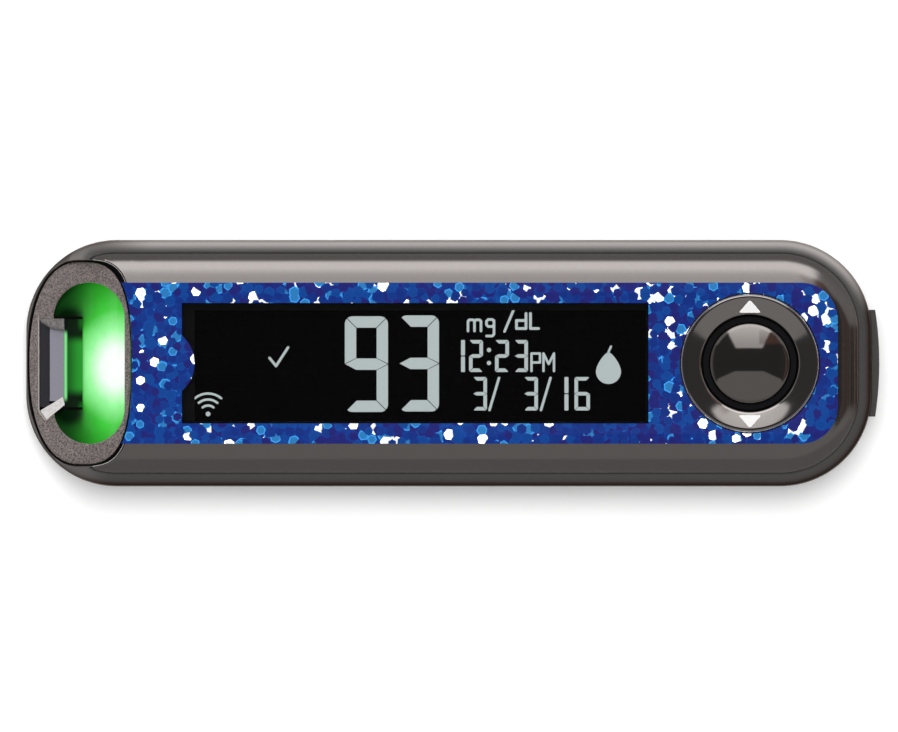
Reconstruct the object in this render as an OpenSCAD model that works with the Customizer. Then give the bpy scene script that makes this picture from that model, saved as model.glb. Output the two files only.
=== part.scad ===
// Blood glucose meter, lying on its back with the display facing up.
// X runs along the meter: the strip port is at -X, the buttons and the battery door's tab at +X.
// The origin is under the middle of the meter, on the surface that it lies on.

/* [Case] */
// Width of the case
case_w = 28; // [27:0.1:34]
// Radius of the case's corners, seen from above
corner_r = 10.4; // [8:0.1:12]
// Radius of the rounded shoulder round the front
shoulder_r = 4.6; // [3:0.1:5]
// Radius of the edge round the back
back_r = 3; // [2:0.1:3]
// Thickness of the case's walls
wall = 1.3; // [1:0.05:1.5]
// Height of the joint between front and rear cover
split_h = 3.2; // [3:0.05:3.6]
// Gap along that joint
split_gap = 0.08; // [0.04:0.01:0.2]
// Thickness of the rear cover's locating lip
lip_t = 0.5; // [0.4:0.05:0.7]
// Height of that lip above the joint
lip_h = 0.9; // [0.5:0.1:1.2]
// Gap between pieces that lie against each other
seat_gap = 0.05; // [0.02:0.01:0.08]
// Clearance round a piece in its opening
fit_gap = 0.1; // [0.06:0.01:0.12]

/* [Strip port] */
// Length of the slanted end, seen from above
slant_l = 11.9; // [11.5:0.1:14]
// Slope of the slanted end
slant_deg = 41; // [36:1:42]
// Thickness of the wall behind the slanted end
slant_wall = 1.9; // [1.7:0.1:2.2]
// Radius of the edge round the slanted end
slant_r = 2.2; // [1:0.1:2.6]
// Length of the oval bezel, seen from above
bezel_l = 11.7; // [11.2:0.1:11.9]
// Bare case beside the bezel
bezel_side = 2.45; // [2.3:0.05:3.5]
// Thickness of the bezel
bezel_t = 1; // [0.7:0.1:1.3]
// Groove round the bezel
bezel_gap = 0.15; // [0.08:0.01:0.25]
// Height of the bezel's seat above the case's joint
bezel_foot = 0.45; // [0.4:0.05:0.8]
// Ledge that the bezel lies on
bezel_ledge = 0.3; // [0.2:0.05:0.5]
// Bezel's edge stands this far in from the end of the case
bezel_inset = 0.3; // [0.2:0.05:0.6]
// Length of the bowl's mouth, seen from above
bowl_l = 8.15; // [7.6:0.05:8.4]
// Width of the bezel beside the bowl's mouth
bowl_side = 2.4; // [2.1:0.1:3.4]
// Land between the bowl and the bezel's upper edge
bowl_land = 0.7; // [0.5:0.05:1]
// Radius of the bowl's curved wall
bowl_r = 6; // [5.6:0.1:6.4]
// Distance from the front of the case to that wall's axis
bowl_drop = 0.7; // [0.5:0.05:1]
// Depth of the bowl's two end lobes
lobe_depth = 1.9; // [1.5:0.1:2.1]
// Wall of the light pipe
pipe_t = 0.8; // [0.6:0.05:1]
// Width of the slot for a test strip
slot_w = 7.5; // [6:0.1:8]
// Height of that slot
slot_h = 1; // [0.8:0.05:1.1]
// Width of the connector round the slot
connector_w = 10; // [9.6:0.1:10.2]
// Thickness of the connector's floor
connector_floor = 1.1; // [0.8:0.1:1.4]
// Thickness of the connector's roof
connector_roof = 0.45; // [0.4:0.05:0.6]
// Distance from the bowl's edge to the slot's mouth
guide_l = 3.3; // [3.05:0.05:3.55]
// Length of the guide block in front of the mouth
guide_block_l = 1.65; // [1.2:0.05:2]
// Width of the guide block
guide_block_w = 8.6; // [8.2:0.1:9]
// Length of the open step between the guide block and the mouth
step_l = 2.1; // [1.6:0.1:2.4]
// Depth of that step below the slot
step_depth = 0.4; // [0.2:0.05:0.6]
// Depth of the slot
slot_depth = 8; // [7:0.1:9]
// Wall behind the slot
slot_back = 1; // [0.6:0.1:1.5]
// Width of the notch in the bezel that a strip passes through
notch_w = 10.2; // [9.6:0.1:11]
// Bezel in front of that notch
notch_front = 1.5; // [1.2:0.1:1.8]
// Depth of that notch below the slot
notch_drop = 0.8; // [0.5:0.1:1]
// Room between the light pipe and the connector
pipe_room = 0.3; // [0.2:0.05:0.4]

/* [Display] */
// Length of the part of the display that shows
view_l = 52.9; // [40:0.1:60]
// Case beside the part of the display that shows
view_side = 7.18; // [7:0.02:8]
// Space from the slanted end to the display
view_margin = 5.9; // [5.6:0.1:9]
// The window's edge under the skin
window_lap = 0.6; // [0.4:0.05:0.7]
// Width of the flange round the back of the window
window_flange = 0.7; // [0.5:0.05:0.7]
// Thickness of that flange
window_flange_t = 0.7; // [0.5:0.05:1]
// Room between the display's holder and the button carrier
holder_gap = 0.4; // [0.2:0.05:0.6]
// Wall of the display's holder
frame_wall = 0.9; // [0.6:0.05:1]
// Space between the display glass and the window's flange
glass_space = 1.05; // [0.8:0.05:1.5]
// Thickness of the display glass
glass_t = 1.8; // [1.4:0.1:2.4]
// Thickness of the backlight
backlight_t = 1.5; // [1.2:0.1:2]
// Width of each rubber connector strip
zebra_w = 1.2; // [0.8:0.1:1.5]

/* [Skin] */
// Bare case beside the skin
skin_side = 4.87; // [4.7:0.01:5.3]
// Thickness of the skin
skin_t = 0.15; // [0.1:0.05:0.25]
// Radius of the skin's corners at the button end
skin_corner_r = 4.2; // [3:0.1:5]
// Bare case from the skin's end to the end of the case
skin_margin = 3.9; // [3.8:0.1:5]
// Radius of the skin's rounded tongue into the display
tongue_r = 4.2; // [3.5:0.1:5]
// How far the tongue reaches over the display
tongue_l = 1.45; // [1:0.05:2]

/* [Buttons] */
// Distance from the side of the case to the rocker ring
ring_side = 6.15; // [6:0.05:7]
// Width of the ring, from its hole to its edge
ring_band = 2.35; // [2.1:0.05:2.6]
// Gap round the ring
ring_gap = 0.2; // [0.17:0.01:0.3]
// Height of the ring above the case
ring_rise = 0.45; // [0.3:0.05:0.5]
// Width of the flange round the foot of the ring
ring_flange = 0.65; // [0.5:0.05:0.8]
// Thickness of that flange
ring_flange_t = 0.6; // [0.5:0.05:0.8]
// Angle that the ring rocks through each way
rock_deg = 2.5; // [1:0.5:2.5]
// Clearance left over when the ring is rocked
rock_clear = 0.12; // [0.08:0.01:0.15]
// Diameter of the ring's two pivots
pivot_d = 1; // [0.8:0.1:1.2]
// Running clearance round a pivot and a stem
pivot_gap = 0.05; // [0.03:0.01:0.08]
// Distance from the ring's hole to the centre button
ok_side = 0.95; // [0.9:0.05:1.4]
// Height of the centre button's dome above the case
ok_rise = 0.6; // [0.5:0.05:0.8]
// Height of the button's dome above its own edge
ok_dome = 0.65; // [0.4:0.05:0.7]
// Travel of the centre button
ok_travel = 0.4; // [0.2:0.05:0.45]
// Clearance left over when the button is pressed
press_clear = 0.1; // [0.05:0.01:0.15]
// Thickness of the collar between ring and button
collar_t = 0.65; // [0.5:0.05:0.65]
// Depth of the collar's rim below the case's front
collar_drop = 0.9; // [0.6:0.1:1.2]
// Thickness of the carrier's plate
carrier_t = 0.8; // [0.6:0.05:1]
// Room round the ring's flange inside the carrier
carrier_room = 0.5; // [0.4:0.05:0.6]
// Room round the ring's legs
leg_room = 0.45; // [0.4:0.05:0.5]
// Thickness of the carrier's outer rim
carrier_rim = 0.6; // [0.5:0.05:0.8]
// Diameter of the button's stem
stem_d = 3; // [2.4:0.1:3.4]
// Width of the stem's retaining flange
stem_flange = 0.8; // [0.5:0.1:1]
// Diameter of the ring's two legs
leg_d = 1.4; // [1.2:0.1:1.6]
// Diameter of a snap dome
dome_d = 4; // [3.4:0.1:4.2]
// Side of the triangular marks
mark_w = 2.6; // [2:0.1:3]
// Depth that a mark is let into the ring
mark_depth = 0.25; // [0.15:0.05:0.4]
// Gap round a mark in the ring
mark_gap = 0.02; // [0.01:0.01:0.04]
// Distance from a mark's point to the ring's edge
mark_inset = 0.65; // [0.45:0.05:0.95]
// Height of a snap dome
dome_h = 0.55; // [0.4:0.05:0.6]
// Bare case from the ring to the end of the case
ring_margin = 6.02; // [5.6:0.02:8]

/* [Battery] */
// Diameter of a coin cell
cell_d = 20; // [18:0.1:20.6]
// Thickness of a coin cell
cell_h = 3.2; // [2.5:0.1:3.6]
// Wall between the two cells
cell_wall = 1; // [0.8:0.1:1.6]
// Space round a cell in its tray
cell_gap = 0.15; // [0.1:0.05:0.25]
// Wall of the tray
tray_wall = 0.85; // [0.6:0.05:1]
// Height of the tray above the cells
tray_rise = 0.5; // [0.3:0.1:0.8]
// Room between the cells and the end wall
cell_end_gap = 2; // [1.9:0.1:3]
// Thickness of the contacts' sheet metal
sheet_t = 0.2; // [0.15:0.01:0.3]
// Width of a side contact
side_contact_w = 3.6; // [3:0.1:4]
// Length of a contact over a cell
top_contact_l = 10; // [8:0.1:11]
// Width of a contact over a cell
top_contact_w = 3; // [2:0.1:3.6]
// Thickness of the battery door
door_t = 1.4; // [1.3:0.05:1.6]
// Width of the door's sliding lip
door_lip = 0.7; // [0.5:0.05:0.75]
// Clearance round the door
door_gap = 0.1; // [0.06:0.01:0.15]
// Height of the door's end wall
door_end_h = 9; // [8.6:0.1:9.4]
// Width of the thumb tab
tab_w = 12.14; // [10:0.02:13]
// Height of the thumb tab
tab_h = 4; // [3:0.1:4.2]
// How far the thumb tab stands out
tab_out = 0.9; // [0.6:0.05:1.4]
// Height of the tab's lower edge
tab_z = 4.4; // [4:0.1:4.4]
// Radius of the tab's outer face
tab_face_r = 40; // [30:1:80]
// Width of the door's end wall
door_end_w = 12.9; // [12.6:0.1:13.4]
// Room between the door and the tray
door_end_gap = 0.4; // [0.3:0.1:0.6]
// Number of grip grooves across the door
grip_count = 5; // [3:1:7]
// Depth of a grip groove
grip_depth = 0.3; // [0.2:0.05:0.5]
// Distance between grip grooves
grip_pitch = 1.4; // [1.2:0.1:1.8]
// Width of a grip groove
grip_w = 0.6; // [0.4:0.1:0.8]
// Length of a grip groove
grip_l = 12; // [8:0.5:16]
// Distance from the door's edge to the first groove
grip_start = 3; // [2:0.1:5]

/* [Board] */
// Room for parts between the cells and the board
under_board = 2.2; // [2:0.05:2.6]
// Thickness of the board
board_t = 0.8; // [0.6:0.1:1]
// Space between the board's edge and the case's wall
board_gap = 0.5; // [0.3:0.1:0.8]
// Distance from the slanted end's upper edge to the board
board_inset = 0.4; // [0.3:0.1:0.6]
// Distance from the board's end to the first pair of screws
screw_start = 2.8; // [2.6:0.1:3.2]
// Distance from the second pair of screws to the door
screw_to_door = 3.2; // [3:0.1:3.6]
// Diameter of a screw's thread
screw_d = 1.6; // [1.4:0.1:1.8]
// Diameter of a screw's head
screw_head_d = 2.8; // [2.4:0.1:3]
// Height of a screw's head
screw_head_h = 0.8; // [0.6:0.05:0.9]
// Length of a screw's thread
screw_l = 9.6; // [8.5:0.1:10]
// Wall of the screw posts and bosses
post_wall = 1.15; // [1:0.05:1.2]
// Space between the display's holder and a screw post
post_gap = 0.13; // [0.03:0.01:0.25]
// Depth of the sunk place for a screw's head
screw_sink = 0.35; // [0.2:0.05:0.5]
// Length of the bare label
label_l = 26; // [20:0.5:27]
// Width of the bare label
label_w = 15; // [10:0.5:16]
// Thickness of the label
label_t = 0.15; // [0.1:0.05:0.2]
// Depth of the place that the label lies in
label_depth = 0.25; // [0.25:0.05:0.4]

/* [Components] */
// Space beside the main chip
chip_space = 1.2; // [0.8:0.1:1.3]
// Side of the main chip
chip_w = 9; // [7:0.5:9.5]
// Thickness of the main chip
chip_t = 1.3; // [1:0.1:1.5]
// Length of the main chip's pins
pin_l = 0.8; // [0.5:0.1:1]
// Distance between those pins
pin_pitch = 0.8; // [0.5:0.1:0.9]
// Width of a pin
pin_w = 0.35; // [0.2:0.05:0.4]
// Side of the measuring chip
measuring_w = 4; // [3:0.5:5]
// Thickness of the measuring chip
measuring_t = 0.9; // [0.7:0.1:1.2]
// Length of the can over the radio circuit
shield_l = 6.4; // [5:0.1:7]
// Width of that can
shield_w = 9; // [7:0.1:10]
// Height of that can
shield_h = 1.6; // [1.2:0.1:1.8]
// Length of the antenna
antenna_l = 6; // [4:0.1:7]
// Width of the antenna
antenna_w = 1.6; // [1:0.1:2]
// Height of the antenna
antenna_h = 1; // [0.8:0.1:1.4]
// Distance from the side of the case to the antenna
antenna_side = 6.8; // [6:0.1:8]
// Diameter of the buzzer
buzzer_d = 7.6; // [6:0.1:8]
// Height of the buzzer
buzzer_h = 1.9; // [1.5:0.05:1.95]
// Diameter of the hole in the buzzer
buzzer_hole_d = 1.6; // [1:0.1:2]
// Length of the clock crystal
crystal_l = 3.2; // [2:0.1:4]
// Width of the clock crystal
crystal_w = 1.5; // [1:0.1:2]
// Height of the clock crystal
crystal_h = 0.8; // [0.6:0.1:1]
// Length of a capacitor
cap_l = 1.6; // [1:0.1:2]
// Width and height of a capacitor
cap_w = 0.8; // [0.5:0.1:1]
// Distance between capacitors
cap_pitch = 2; // [1.6:0.1:2]

/* [Hidden] */
$fn = 96;
oval_points = 48;
big = 200;

// Room that a rocking piece needs at a distance from its pivots
function rock_room(reach) = ceil(100 * reach * sin(rock_deg)) / 100 + rock_clear;

// Radii round the buttons
half_w = case_w / 2;
ring_r = half_w - ring_side;
ring_bore_r = ring_r - ring_band;
ring_flange_r = ring_r + ring_flange;
carrier_inner_r = ring_flange_r + carrier_room;
carrier_r = carrier_inner_r + carrier_rim;
ok_r = ring_bore_r - ok_side;
collar_inner_r = ok_r + fit_gap;
collar_r = collar_inner_r + collar_t;
leg_y = (ring_bore_r + ring_r) / 2 - fit_gap;
mark_reach = ring_r - mark_inset;

// Heights, from the floor up
cell_z = door_t + seat_gap;
board_z = cell_z + cell_h + seat_gap + under_board;
board_top = board_z + board_t;
glass_z = board_top + seat_gap + backlight_t + seat_gap;
glass_top = glass_z + glass_t;
frame_top = glass_top + glass_space;
case_inner_z = frame_top + window_flange_t + 2 * seat_gap;
case_h = case_inner_z + wall;
connector_top = board_z - seat_gap;
slot_z = connector_top - connector_roof - slot_h;
connector_z = slot_z - connector_floor;
tray_top = cell_z + cell_h + tray_rise;
ring_flange_top = case_inner_z - rock_room(ring_flange_r);
pivot_z = ring_flange_top - ring_flange_t / 2;
carrier_top = ring_flange_top - ring_flange_t - rock_room(ring_flange_r);
carrier_z = carrier_top - carrier_t;
dome_top = board_top + seat_gap + dome_h;
stem_foot = dome_top + ok_travel + press_clear;
leg_foot = dome_top + rock_room(leg_y);

// Widths that follow the case's width
bezel_w = case_w - 2 * bezel_side;
bowl_w = bezel_w - 2 * bowl_side;
view_w = case_w - 2 * view_side;
skin_w = case_w - 2 * skin_side;
frame_side = window_lap + window_flange;
frame_half = view_w / 2 + frame_side;

// Places along the meter
frame_over = frame_side + 2 * fit_gap;
view_to_ring = frame_over + holder_gap + carrier_r;
case_l = slant_l + view_margin + view_l + view_to_ring + ring_r + ring_margin;
end_left = -(case_l + tab_out) / 2;
end_right = end_left + case_l;
slant_x = end_left + slant_l;
view_x0 = slant_x + view_margin;
view_x1 = view_x0 + view_l;
ring_x = view_x1 + view_to_ring;
bezel_x = end_left + bezel_inset + bezel_l / 2;
bowl_x1 = bezel_x + bezel_l / 2 - bowl_land;
bowl_x0 = bowl_x1 - bowl_l;
mouth_x = bowl_x0 + guide_l;
block_x = mouth_x - step_l - guide_block_l;
connector_x1 = mouth_x + slot_depth + slot_back;
board_x0 = slant_x + board_inset;
cell_2_x = end_right - wall - cell_end_gap - cell_d / 2;
cell_1_x = cell_2_x - cell_d - cell_wall;
tray_r = cell_d / 2 + cell_gap + tray_wall;
door_x0 = cell_1_x - tray_r - door_end_gap;
door_half = cell_d / 2 + 2 * fit_gap;
boss_r = screw_d / 2 + fit_gap + post_wall;
screw_y = frame_half + post_gap + boss_r - fit_gap;
screw_xs = [board_x0 + screw_start, door_x0 - screw_to_door];
label_x = (screw_xs[0] + screw_xs[1]) / 2;
bowl_axis_x = bowl_x1 - bowl_r;
bowl_axis_z = case_h - bowl_drop;

// Places of the parts on the board, spread evenly between the connector and the battery tray
chip_half = chip_w / 2 + pin_l;
parts_l = measuring_w + shield_l + 2 * chip_half + buzzer_d;
part_gap = (cell_1_x - tray_r - connector_x1 - parts_l) / 5;
measuring_x = connector_x1 + part_gap + measuring_w / 2;
shield_x = measuring_x + measuring_w / 2 + part_gap + shield_l / 2;
shield_y = -shield_w / 3;
chip_x = shield_x + shield_l / 2 + part_gap + chip_half;
chip_y = -chip_w / 9;
buzzer_x = chip_x + chip_half + part_gap + buzzer_d / 2;

// ---- Shapes that several pieces share ----

// Half of an upright section through a rounded edge, from the axis out to r
module edge_profile(r, z0, z1, r_top, r_bottom) {
    difference() {
        translate([0, z0]) square([r, z1 - z0]);
        translate([r - r_top, z1 - r_top]) difference() {
            square([r_top + 1, r_top + 1]);
            circle(r_top);
        }
        translate([r - r_bottom, z0 + r_bottom]) difference() {
            translate([0, -r_bottom - 1]) square([r_bottom + 1, r_bottom + 1]);
            circle(r_bottom);
        }
    }
}

// Block with round corners in plan and rounded edges at its top and bottom
module slab(x0, x1, half, r, z0, z1, r_top, r_bottom) {
    straight = half - r;
    length = x1 - x0 - 2 * r;
    for (side = [0, 1]) mirror([0, side, 0]) {
        translate([x1 - r, straight, 0]) rotate_extrude(angle = 90)
            edge_profile(r, z0, z1, r_top, r_bottom);
        translate([x0 + r, straight, 0]) rotate([0, 0, 90]) rotate_extrude(angle = 90)
            edge_profile(r, z0, z1, r_top, r_bottom);
        translate([x0 + r, straight, 0]) rotate([90, 0, 90]) linear_extrude(length)
            edge_profile(r, z0, z1, r_top, r_bottom);
    }
    translate([x1 - r, straight, 0]) rotate([90, 0, 0]) linear_extrude(2 * straight)
        edge_profile(r, z0, z1, r_top, r_bottom);
    translate([x0 + r, -straight, 0]) rotate([90, 0, 180]) linear_extrude(2 * straight)
        edge_profile(r, z0, z1, r_top, r_bottom);
    translate([x0 + r, -straight, z0]) cube([length, 2 * straight, z1 - z0]);
}

// The case's outline, moved in by inset, as an upright block
module plan_block(inset, z0, z1) {
    r = corner_r - inset;
    translate([0, 0, z0]) linear_extrude(z1 - z0) {
        for (x = [end_left + corner_r, end_right - corner_r], y = [-1, 1] * (half_w - corner_r))
            translate([x, y]) circle(r);
        translate([end_left + corner_r, inset - half_w])
            square([case_l - 2 * corner_r, case_w - 2 * inset]);
        translate([end_left + inset, corner_r - half_w])
            square([case_l - 2 * inset, case_w - 2 * corner_r]);
    }
}

// Everything under the slanted end's plane, moved down by depth
module under_slant(depth) {
    translate([slant_x, 0, case_h]) rotate([0, -slant_deg, 0])
        translate([-big / 2, -big / 2, -big - depth]) cube(big);
}

// The slanted end's own rounded block, which rounds the edge of the slope
module slant_round() {
    margin = 0.3;
    length = slant_l / cos(slant_deg) + 4 * margin;
    translate([slant_x, 0, case_h]) rotate([0, -slant_deg, 0])
        slab(-length, big, half_w + margin, corner_r, -big / 2, 0, slant_r, slant_r);
}

// Full outer form of the case
module case_form() {
    slab(end_left, end_right, half_w, corner_r, 0, case_h, shoulder_r, back_r);
}

// Hollow inside the case
module case_hollow() {
    intersection() {
        slab(end_left + wall, end_right - wall, half_w - wall, corner_r - wall,
            wall, case_inner_z, shoulder_r - wall, back_r - wall);
        under_slant(slant_wall);
    }
}

// Box from corner to corner
module block(low, high) {
    translate(low) cube(high - low);
}

// Oval of the port: fuller towards the display, rounder towards the end
module oval_column(grow) {
    a = bezel_l / 2 + grow;
    b = bezel_w / 2 + grow;
    step = 360 / oval_points;
    translate([bezel_x, 0, 0]) linear_extrude(2 * case_h, center = true)
        polygon([for (t = [step / 2 : step : 360])
            let (power = cos(t) > 0 ? 2 / 3 : 2 / 2.3)
                [sign(cos(t)) * a * pow(abs(cos(t)), power), sign(sin(t)) * b * pow(abs(sin(t)), power)]]);
}

// Upright column with the outline of the bowl's mouth
module bowl_column(grow) {
    r = bowl_l / 2 + grow;
    reach = bowl_w / 2 - bowl_l / 2;
    translate([(bowl_x0 + bowl_x1) / 2, 0, -case_h]) {
        for (y = [-reach, reach]) translate([0, y, 0]) cylinder(r = r, h = 3 * case_h);
        translate([-r, -reach, 0]) cube([2 * r, 2 * reach, 3 * case_h]);
    }
}

// Room that the battery door slides through, with a clearance round it
module door_room(gap) {
    block([door_x0 - gap, -door_half - gap, -1], [big, door_half + gap, door_t / 2 + gap]);
    block([door_x0 - gap, -door_half - door_lip - gap, door_t / 2 - gap],
        [big, door_half + door_lip + gap, door_t + gap]);
    block([end_right - corner_r / 2 - gap, -door_end_w / 2 - gap, -1],
        [big, door_end_w / 2 + gap, door_end_h + gap]);
}

// Places one copy at each screw
module at_screws() {
    for (x = screw_xs, y = [-screw_y, screw_y]) translate([x, y, 0]) children();
}

// ---- Case ----

module front_cover() {
    color("#5f5b5a") difference() {
        union() {
            difference() {
                intersection() {
                    case_form();
                    under_slant(0);
                    slant_round();
                    block([-big, -big, split_h], [big, big, big]);
                }
                case_hollow();
            }
            intersection() {
                at_screws() translate([0, 0, board_top + seat_gap])
                    cylinder(r = boss_r - fit_gap, h = case_inner_z - board_top + wall / 2);
                case_form();
            }
        }
        at_screws() translate([0, 0, board_z]) cylinder(d = screw_d + seat_gap, h = screw_l - board_z + 2);
        // opening for the window
        block([view_x0 - window_lap - fit_gap, -view_w / 2 - window_lap - fit_gap, case_inner_z - 1],
            [view_x1 + window_lap + fit_gap, view_w / 2 + window_lap + fit_gap, big]);
        // opening for the ring
        translate([ring_x, 0, case_inner_z - 1]) cylinder(r = ring_r + ring_gap, h = big);
        // seat and opening for the bezel
        intersection() {
            oval_column(bezel_gap);
            block([-big, -big, split_h + bezel_foot], [big, big, big]);
            difference() {
                block([-big, -big, 0], [big, big, big]);
                under_slant(bezel_t + seat_gap);
            }
        }
        oval_column(-bezel_ledge);
        door_room(door_gap);
    }
}

module rear_cover() {
    color("#4b4847") difference() {
        union() {
            difference() {
                intersection() {
                    case_form();
                    block([-big, -big, -1], [big, big, split_h - split_gap]);
                }
                slab(end_left + wall, end_right - wall, half_w - wall, corner_r - wall,
                    wall, case_inner_z, shoulder_r - wall, back_r - wall);
            }
            rear_lip();
            at_screws() translate([0, 0, wall / 2]) cylinder(r = boss_r, h = board_z - seat_gap - wall / 2);
        }
        door_room(door_gap);
        at_screws() {
            translate([0, 0, -1])
                cylinder(d = screw_head_d + 3 * fit_gap, h = 1 + screw_sink + screw_head_h + seat_gap);
            cylinder(d = screw_d + 2 * fit_gap, h = board_z);
        }
        block([label_x - label_l / 2 - 2 * fit_gap, -label_w / 2 - 2 * fit_gap, -1],
            [label_x + label_l / 2 + 2 * fit_gap, label_w / 2 + 2 * fit_gap, label_depth]);
    }
}

// Locating lip inside the joint, left out round the strip port
module rear_lip() {
    intersection() {
        union() {
            difference() {
                plan_block(wall - fit_gap, split_h - lip_h, split_h - split_gap);
                plan_block(wall + lip_t + fit_gap, 0, case_h);
            }
            difference() {
                plan_block(wall + fit_gap, split_h - lip_h, split_h + lip_h);
                plan_block(wall + lip_t + fit_gap, 0, case_h);
            }
        }
        block([slant_x - slant_l / 2, -big, 0], [big, big, case_h]);
    }
}

module case_screws() {
    slot_half = 0.18;
    slot_cut = screw_head_h / 2;
    color("silver") at_screws() difference() {
        union() {
            translate([0, 0, screw_sink]) cylinder(d = screw_head_d, h = screw_head_h);
            translate([0, 0, screw_sink]) cylinder(d = screw_d, h = screw_head_h + screw_l);
        }
        for (turn = [0, 90]) rotate([0, 0, turn])
            block([-screw_head_d / 3, -slot_half, 0], [screw_head_d / 3, slot_half, screw_sink + slot_cut]);
    }
}

module rear_label() {
    top = label_depth - seat_gap;
    color("#c9c7c3") block([label_x - label_l / 2, -label_w / 2, top - label_t],
        [label_x + label_l / 2, label_w / 2, top]);
}

// ---- Strip port ----

module port_bezel() {
    color("#7a7370") difference() {
        intersection() {
            oval_column(0);
            under_slant(0);
            block([-big, -big, split_h + bezel_foot + seat_gap], [big, big, case_h]);
        }
        under_slant(bezel_t);
        bowl_column(0);
        block([end_left + notch_front, -notch_w / 2, slot_z - notch_drop],
            [(bowl_x0 + bowl_x1) / 2, notch_w / 2, case_h]);
    }
}

module light_pipe() {
    color("#39c24a") difference() {
        intersection() {
            bowl_column(pipe_t);
            oval_column(-bezel_ledge - seat_gap);
            under_slant(bezel_t + seat_gap);
            block([-big, -big, wall + seat_gap], [big, big, case_h]);
        }
        intersection() {
            under_slant(lobe_depth + pipe_t);
            block([-big, -big, 0], [big, big, board_z]);
        }
        bowl_hollow();
        // room for the connector, and for the strip above it
        block([-big, -connector_w / 2 - pipe_room, 0], [mouth_x, connector_w / 2 + pipe_room, case_h]);
        block([-big, -connector_w / 2 - pipe_room, 0], [big, connector_w / 2 + pipe_room, board_z]);
    }
}

// Hollow of the bowl: a curved wall under the upper edge, and a shallower floor in the two lobes
module bowl_hollow() {
    intersection() {
        bowl_column(0);
        union() {
            difference() {
                block([-big, -big, 0], [bowl_axis_x, big, case_h]);
                under_slant(lobe_depth);
            }
            difference() {
                block([bowl_axis_x - 1, -big, 0], [big, big, case_h]);
                under_slant(lobe_depth);
            }
            translate([bowl_axis_x, 0, bowl_axis_z]) rotate([90, 0, 0])
                cylinder(r = bowl_r, h = case_w, center = true);
        }
    }
}

module port_led() {
    led_l = 0.8;
    led_w = 1.6;
    led_h = 0.7;
    color("white") translate([board_x0 + fit_gap, -led_w / 2, board_top + seat_gap])
        cube([led_l, led_w, led_h]);
}

module strip_connector() {
    color("#8d8a94") difference() {
        union() {
            block([block_x, -guide_block_w / 2, connector_z], [mouth_x, guide_block_w / 2, slot_z]);
            block([mouth_x - step_l, -connector_w / 2, connector_z],
                [connector_x1, connector_w / 2, slot_z - step_depth]);
            block([mouth_x, -connector_w / 2, connector_z], [connector_x1, connector_w / 2, connector_top]);
        }
        block([block_x + guide_block_l, -connector_w / 2 - 1, slot_z - step_depth],
            [mouth_x, connector_w / 2 + 1, case_h]);
        block([mouth_x - 1, -slot_w / 2, slot_z], [mouth_x + slot_depth, slot_w / 2, slot_z + slot_h]);
    }
}

module strip_contacts() {
    contact_w = 0.8;
    contact_t = 0.15;
    contact_l = 5.4;
    hump_h = 0.4;
    hump_l = 2 * hump_h;
    end_x = mouth_x + slot_depth - seat_gap;
    top = slot_z + slot_h - fit_gap;
    spine = [
        [end_x, top], [end_x - contact_l + 3 * hump_l, top], [end_x - contact_l + hump_l, top - hump_h],
        [end_x - contact_l, top]
    ];
    back = [for (i = [3 : -1 : 0]) spine[i] - [0, contact_t]];
    color("gold") for (y = [-1, 0, 1] * slot_w / 3.6) translate([0, y + contact_w / 2, 0]) rotate([90, 0, 0])
        linear_extrude(contact_w) polygon(concat(spine, back));
}

// ---- Display ----

module display_window() {
    x0 = view_x0 - window_lap;
    x1 = view_x1 + window_lap;
    y = view_w / 2 + window_lap;
    color("#101012") union() {
        block([x0, -y, frame_top + seat_gap], [x1, y, case_h]);
        block([x0 - window_flange, -y - window_flange, frame_top + seat_gap],
            [x1 + window_flange, y + window_flange, frame_top + seat_gap + window_flange_t]);
    }
}

module decal_skin() {
    x1 = end_right - skin_margin;
    r = skin_corner_r;
    color("#2438a0") translate([0, 0, case_h]) difference() {
        linear_extrude(skin_t) difference() {
            union() {
                translate([slant_x + fit_gap, -skin_w / 2]) square([x1 - r - slant_x - fit_gap, skin_w]);
                translate([x1 - 2 * r, r - skin_w / 2]) square([2 * r, skin_w - 2 * r]);
                for (y = [-1, 1] * (skin_w / 2 - r)) translate([x1 - r, y]) circle(r);
            }
            difference() {
                translate([view_x0, -view_w / 2]) square([view_l, view_w]);
                translate([view_x0 + tongue_l - tongue_r, 0]) circle(tongue_r);
            }
            translate([ring_x, 0]) circle(ring_r + ring_gap + fit_gap);
        }
        translate([0, 0, -case_h / 2]) oval_column(bezel_gap + fit_gap);
    }
}

module lcd_frame() {
    x0 = view_x0 - frame_over;
    x1 = view_x1 + frame_over;
    z0 = board_top + seat_gap;
    color("#d8d8d4") difference() {
        block([x0, -frame_half, z0], [x1, frame_half, frame_top]);
        block([x0 + frame_wall, frame_wall - frame_half, z0 - 1],
            [x1 - frame_wall, frame_half - frame_wall, glass_top + seat_gap]);
        block([view_x0, -view_w / 2, z0], [view_x1, view_w / 2, case_h]);
    }
}

module lcd_panel() {
    x0 = view_x0 - frame_over + frame_wall + fit_gap;
    x1 = view_x1 + frame_over - frame_wall - fit_gap;
    y = frame_half - frame_wall - fit_gap;
    color("#161318") block([x0, -y, glass_z], [x1, y, glass_top]);
}

module lcd_backlight() {
    x0 = view_x0 - frame_over + frame_wall + fit_gap;
    x1 = view_x1 + frame_over - frame_wall - fit_gap;
    y = frame_half - frame_wall - zebra_w - 4 * fit_gap;
    color("#f1f1ea") block([x0, -y, board_top + seat_gap], [x1, y, glass_z - seat_gap]);
}

module zebra_connectors() {
    outer = frame_half - frame_wall - fit_gap;
    color("#6a6a6e") for (side = [0, 1]) mirror([0, side, 0])
        block([view_x0 + zebra_w, outer - zebra_w, board_top + seat_gap],
            [view_x1 - zebra_w, outer, glass_z - seat_gap]);
}

// ---- Buttons ----

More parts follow.
